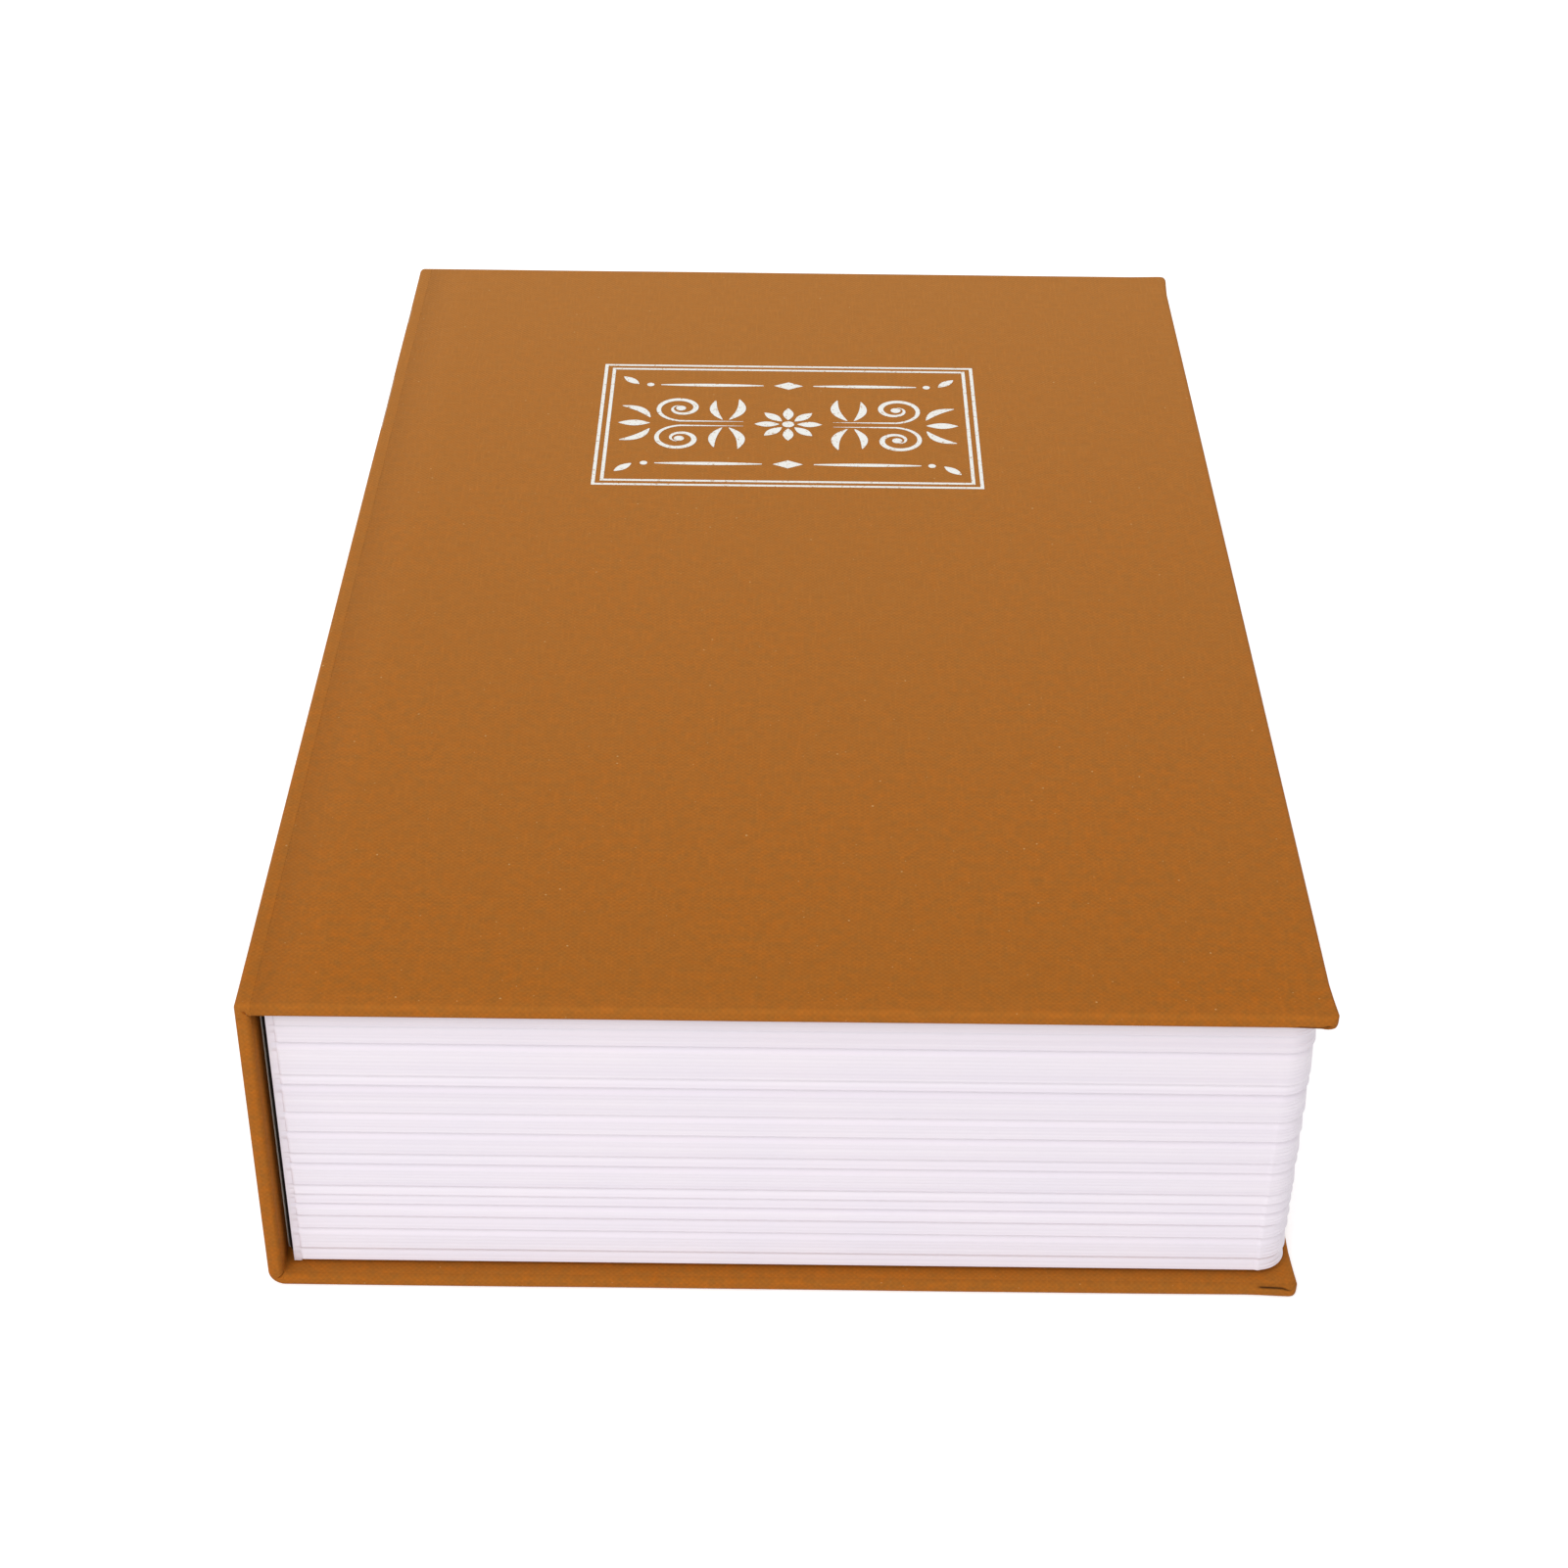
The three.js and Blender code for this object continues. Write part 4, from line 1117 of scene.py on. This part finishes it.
def title_ornament():
    """A traditional ornament inside the double rule, with scrolls and leaves round a rosette."""
    centre = (FRAME_LOW + FRAME_HIGH) / 2
    quarters = [Vector((flip_x, flip_y)) for flip_x in (1, -1) for flip_y in (1, -1)]
    art = Foil()
    for k in range(PETALS):
        along = heading(2 * math.pi * k / PETALS)
        petal = bowed(centre + PETAL_START * along, centre + PETAL_END * along, 0.0)
        art.stroke(petal, PETAL_WIDTH, THIN_TIP)
    art.shape(round_dot(centre, ROSETTE_RADIUS))

    strokes = [(scroll(), SCROLL_WIDTH)]
    strokes += [(bowed(Vector(a), Vector(b), bow), width) for a, b, bow, width in LEAVES]
    rule = bowed(Vector((SWELL_START, SWELL_Y)), Vector((SWELL_END, SWELL_Y)), 0.0)
    for flip in quarters:
        for line, widest in strokes:
            art.stroke([centre + p * flip for p in line], widest)
        art.stroke([centre + p * flip for p in rule], SWELL_WIDTH, BLUNT_TIP)
        art.shape(round_dot(centre + Vector((DOT_X, SWELL_Y)) * flip, DOT_RADIUS))
    for side in (1, -1):
        along = Vector((side, 0))
        leaf = bowed(centre + TIP_START * along, centre + TIP_END * along, 0.0)
        art.stroke(leaf, TIP_WIDTH, THIN_TIP)
    for side in (1, -1):
        art.shape(lozenge(centre + Vector((0, SWELL_Y * side))))
    art.next_layer()
    for flip in quarters:
        art.shape(round_dot(centre + SCROLL_CENTRE * flip, SCROLL_DOT))
    art.piece("title_ornament")


# The lock and the rivets

LID_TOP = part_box("tray_hinge_leaf")[0].z
LOCK_LOW, LOCK_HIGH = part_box("lock_barrel")
LOCK_CENTRE = Vector(((LOCK_LOW.x + LOCK_HIGH.x) / 2, (LOCK_LOW.y + LOCK_HIGH.y) / 2, 0))
HEAD_RADIUS = (LOCK_HIGH.x - LOCK_LOW.x) / 2
BARREL_RADIUS = 0.008
BARREL_FLAT = 0.0069
BORE_RADIUS = 0.0057
HEAD_BEVEL = 0.0009
HEAD_STEPS = 8
THREAD_PITCH = 0.001
THREAD_DEPTH = 0.0003
PLUG_RADIUS = 0.0055
PLUG_RIM = 0.0005
PLUG_RIM_STEPS = 6
PLUG_RING = 0.004
PLUG_FACE = 0.0038
PLUG_SINK = 0.0001
PLUG_BEVEL = 0.00008
PLUG_SQUARE = 0.0032
SQUARE_BEVEL = 0.0002
CAM_SEAT = 0.0015
SCREW_BORE = 0.0019
SCREW_ROOM = 0.0002
KEYWAY_LENGTH = 0.007
KEYWAY_WIDTH = 0.0013
KEYWAY_DEPTH = 0.008
WARD_WIDTH = 0.001
WARD_LENGTH = 0.0026
LOCK_STEPS = 96
BORE_STEPS = 48
RIVET_STEPS = 40
DOME_STEPS = 10
RIVET_SEAT = 0.0008
RIVET_SHANK = 0.0012
RIVET_TAIL = 0.0019
RIVET_TAIL_RISE = 0.0007
RIVET_CHAMFER = 0.0002
RIVET_EDGE = 0.0001


def lock_box(name, low, high):
    """A plain box between two corners that are given from the lock's axis."""
    low, high = LOCK_CENTRE + Vector(low), LOCK_CENTRE + Vector(high)
    mesh = bpy.data.meshes.new(name)
    work = bmesh.new()
    bmesh.ops.create_cube(work, size=1)
    for vertex in work.verts:
        vertex.co = Vector([(a + b) / 2 + (b - a) * c for a, b, c in zip(low, high, vertex.co)])
    work.to_mesh(mesh)
    work.free()
    return make_object(name, mesh)


def lock_barrel():
    """The lock's barrel: a polished bevelled head over a threaded shank with two flats."""
    foot, top = LOCK_LOW.z, LOCK_HIGH.z
    profile = [(BORE_RADIUS, foot)]
    turns = int((LID_TOP - foot) / THREAD_PITCH)
    root = BARREL_RADIUS - THREAD_DEPTH
    for k in range(turns):
        low = foot + k * THREAD_PITCH
        profile += [(root, low), (BARREL_RADIUS, low + THREAD_PITCH / 2)]
    profile += [(root, foot + turns * THREAD_PITCH), (BARREL_RADIUS, LID_TOP)]
    lip = HEAD_BEVEL / 4
    profile += [(HEAD_RADIUS - lip, LID_TOP), (HEAD_RADIUS, LID_TOP + lip)]
    centre = (HEAD_RADIUS - HEAD_BEVEL, top - HEAD_BEVEL)
    profile += arc(centre, HEAD_BEVEL, 0, 90, HEAD_STEPS)
    ring = BORE_RADIUS + HEAD_BEVEL
    profile += [(ring + lip, top), (ring, top - lip), (BORE_RADIUS, top - 2 * lip)]
    piece = lathe("lock_barrel_turned", profile, LOCK_CENTRE, LOCK_STEPS)
    for vertex in piece.data.vertices:
        if vertex.co.z < LID_TOP - THREAD_DEPTH:
            off = vertex.co.y - LOCK_CENTRE.y
            vertex.co.y = LOCK_CENTRE.y + min(max(off, -BARREL_FLAT), BARREL_FLAT)
    smooth(piece, degrees=30)
    piece.data.materials.append(CHROME_FINISH)
    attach(piece, "lid")
    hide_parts("lock_barrel")


def lock_plug():
    """The turning plug, with its keyway and the square tail that carries the cam."""
    low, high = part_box("lock_plug")
    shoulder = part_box("lock_cam")[0].z + CAM_SEAT
    bore_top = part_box("cam_screw")[1].z + SCREW_ROOM
    profile = [(0, bore_top), (SCREW_BORE, bore_top)]
    profile += [(SCREW_BORE, shoulder), (PLUG_RADIUS, shoulder)]
    centre = (PLUG_RADIUS - PLUG_RIM, high.z - PLUG_RIM)
    profile += arc(centre, PLUG_RIM, 0, 90, PLUG_RIM_STEPS)
    face = high.z - PLUG_SINK
    profile += [(PLUG_RING, high.z), (PLUG_FACE, face), (0, face)]
    piece = lathe("lock_plug_turned", profile, LOCK_CENTRE, LOCK_STEPS)
    foot, over = high.z - KEYWAY_DEPTH, high.z + KEYWAY_DEPTH
    half_x, half_y = KEYWAY_WIDTH / 2, KEYWAY_LENGTH / 2
    cut(piece, lock_box("keyway", (-half_x, -half_y, foot), (half_x, half_y, over)))
    ward_high = (half_x + WARD_WIDTH, WARD_LENGTH - half_y, over)
    cut(piece, lock_box("ward", (0, -half_y, foot), ward_high))
    smooth(piece, degrees=30)
    bevel(piece, PLUG_BEVEL, segments=2)
    piece.data.materials.append(CHROME_FINISH)
    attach(piece, "lock_core")
    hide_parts("lock_plug")

    half = PLUG_SQUARE
    tail = lock_box("lock_plug_tail", (-half, -half, low.z), (half, half, shoulder))
    below = low.z - SCREW_BORE
    bore = [(0, below), (SCREW_BORE, below), (SCREW_BORE, bore_top), (0, bore_top)]
    cut(tail, lathe("screw_bore", bore, LOCK_CENTRE, BORE_STEPS))
    bevel(tail, SQUARE_BEVEL, segments=2)
    tail.data.materials.append(CHROME_FINISH)
    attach(tail, "lock_core")


def rivets():
    """Domed rivets, one for each rivet of the frame."""
    for node in sorted(name for name in frame["nodes"] if "rivet" in name):
        low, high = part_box(node)
        centre = Vector(((low.x + high.x) / 2, (low.y + high.y) / 2, 0))
        radius = (high.x - low.x) / 2
        seat = LID_TOP + RIVET_SEAT
        rise = high.z - seat
        chamfer, under = low.z + RIVET_CHAMFER, low.z + RIVET_TAIL_RISE
        profile = [(0, low.z), (RIVET_TAIL - RIVET_CHAMFER, low.z), (RIVET_TAIL, chamfer)]
        profile += [(RIVET_TAIL, under), (RIVET_SHANK, under)]
        profile += [(RIVET_SHANK, seat), (radius - RIVET_EDGE, seat)]
        dome = arc((0, 0), 1, 0, 90, DOME_STEPS)
        profile += [(radius * across, seat + rise * up) for across, up in dome]
        piece = lathe(node + "_domed", profile, centre, RIVET_STEPS)
        smooth(piece, degrees=40)
        piece.data.materials.append(HINGE_FINISH)
        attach(piece, frame["nodes"][node]["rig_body"])
        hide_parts(node)


def dress_frame_nodes():
    """Finishes and bevels for the nodes of the frame that stay in view."""
    finishes = {
        "grey_board": GREY_FINISH,
        "endpaper": PAPER_FINISH,
        "black_steel": BLACK_FINISH,
        "hinge_steel": HINGE_FINISH,
        "zinc_steel": ZINC_FINISH,
    }
    for part in frame["record"]["subparts"]:
        piece = frame["nodes"][part["node"]]
        if piece.hide_render:
            continue
        slot = part["material_slot"]
        piece.data.materials.clear()
        piece.data.materials.append(finishes[slot])
        if slot in BEVELS:
            smooth(piece)
            join = piece.modifiers.new("join", "WELD")
            join.merge_threshold = MERGE_DISTANCE
            bevel(piece, BEVELS[slot])
            shade = piece.modifiers.new("shade", "WEIGHTED_NORMAL")
            shade.keep_sharp = True


# Floor, light and camera


def seen_directly(tree):
    """1 for what the eye sees, also in reflections and through glass, and 0 for what only lights."""
    path = tree.nodes.new("ShaderNodeLightPath").outputs
    seen = path["Is Camera Ray"]
    for kind in ("Is Glossy Ray", "Is Transmission Ray"):
        most = tree.nodes.new("ShaderNodeMath")
        most.operation = "MAXIMUM"
        tree.links.new(seen, most.inputs[0])
        tree.links.new(path[kind], most.inputs[1])
        seen = most.outputs[0]
    return seen


def surrounding():
    """A white surrounding for the eye and for reflections, and a softer one as the light."""
    world = bpy.data.worlds.new("surrounding")
    bpy.context.scene.world = world
    world.use_nodes = True
    tree = world.node_tree
    background = tree.nodes["Background"]
    background.inputs["Color"].default_value = (1, 1, 1, 1)
    level = tree.nodes.new("ShaderNodeMapRange")
    level.inputs["To Min"].default_value = AMBIENT
    tree.links.new(seen_directly(tree), level.inputs["Value"])
    tree.links.new(level.outputs[0], background.inputs["Strength"])


def floor():
    """A plain pale floor, white to the eye, that keeps the book's shadow."""
    far = FLOOR_REACH
    mesh = bpy.data.meshes.new("floor")
    corners = [(-far, -far, 0), (far, -far, 0), (far, far, 0), (-far, far, 0)]
    mesh.from_pydata(corners, [], [(0, 1, 2, 3)])
    piece = make_object("floor", mesh)
    piece.location.z = cad_bounds[0].z - FLOOR_DROP
    n = Nodes("floor")
    finish = n.finish(
        Base_Color=(FLOOR_GREY, FLOOR_GREY, FLOOR_GREY, 1),
        Roughness=1.0,
        Specular_IOR_Level=0.0,
        Emission_Color=(1, 1, 1, 1),
        Emission_Strength=n.calc("MULTIPLY", seen_directly(n.tree), FLOOR_GLOW),
    )
    mesh.materials.append(finish)


def front_lamp():
    """A large square lamp that faces the book."""
    light = bpy.data.lights.new("front_lamp", "AREA")
    light.shape = "SQUARE"
    light.size = LAMP_SIZE
    light.energy = LAMP_POWER
    lamp = make_object("front_lamp", light)
    lamp.location = LAMP_PLACE
    target = Vector((0, 0, TOP_Z / 2))
    lamp.rotation_euler = (target - LAMP_PLACE).to_track_quat("-Z", "Y").to_euler()


def camera():
    """The photograph's camera, found by fitting the case's corners."""
    data = bpy.data.cameras.new("camera")
    data.lens = CAMERA_LENS
    data.sensor_width = CAMERA_SENSOR
    data.clip_start = CAMERA_NEAR
    data.clip_end = CAMERA_FAR
    view = make_object("camera", data)
    yaw = Euler((0, 0, CAMERA_YAW)).to_matrix()
    pitch = Euler((math.pi / 2 + CAMERA_PITCH, 0, 0)).to_matrix()
    roll = Euler((0, 0, CAMERA_ROLL)).to_matrix()
    view.matrix_world = (yaw @ pitch @ roll).to_4x4()
    view.location = CAMERA_PLACE
    bpy.context.scene.camera = view


CLOTH_FINISH = book_cloth()
PLASTIC_FINISH = page_plastic()
FOIL_FINISH = foil()
PAPER_FINISH = endpaper()
GREY_FINISH = grey_board()
BLACK_FINISH = black_steel()
CHROME_FINISH = lock_chrome()
HINGE_FINISH = rolled_steel(
    "hinge_steel", linear(176, 178, 181), linear(196, 197, 199), 0.26, 0.42, (2600, 90, 2600)
)
ZINC_FINISH = rolled_steel(
    "zinc_steel", linear(186, 185, 178), linear(206, 204, 194), 0.34, 0.52, (900, 900, 900)
)

camera()
surrounding()
front_lamp()
floor()

front_cover_wrap()
joint_wrap()
case_wrap()
joint_lining()
front_paper()
page_block()
title_frame()
title_ornament()
lock_barrel()
lock_plug()
rivets()
dress_frame_nodes()

bpy.context.scene.view_settings.view_transform = "Standard"
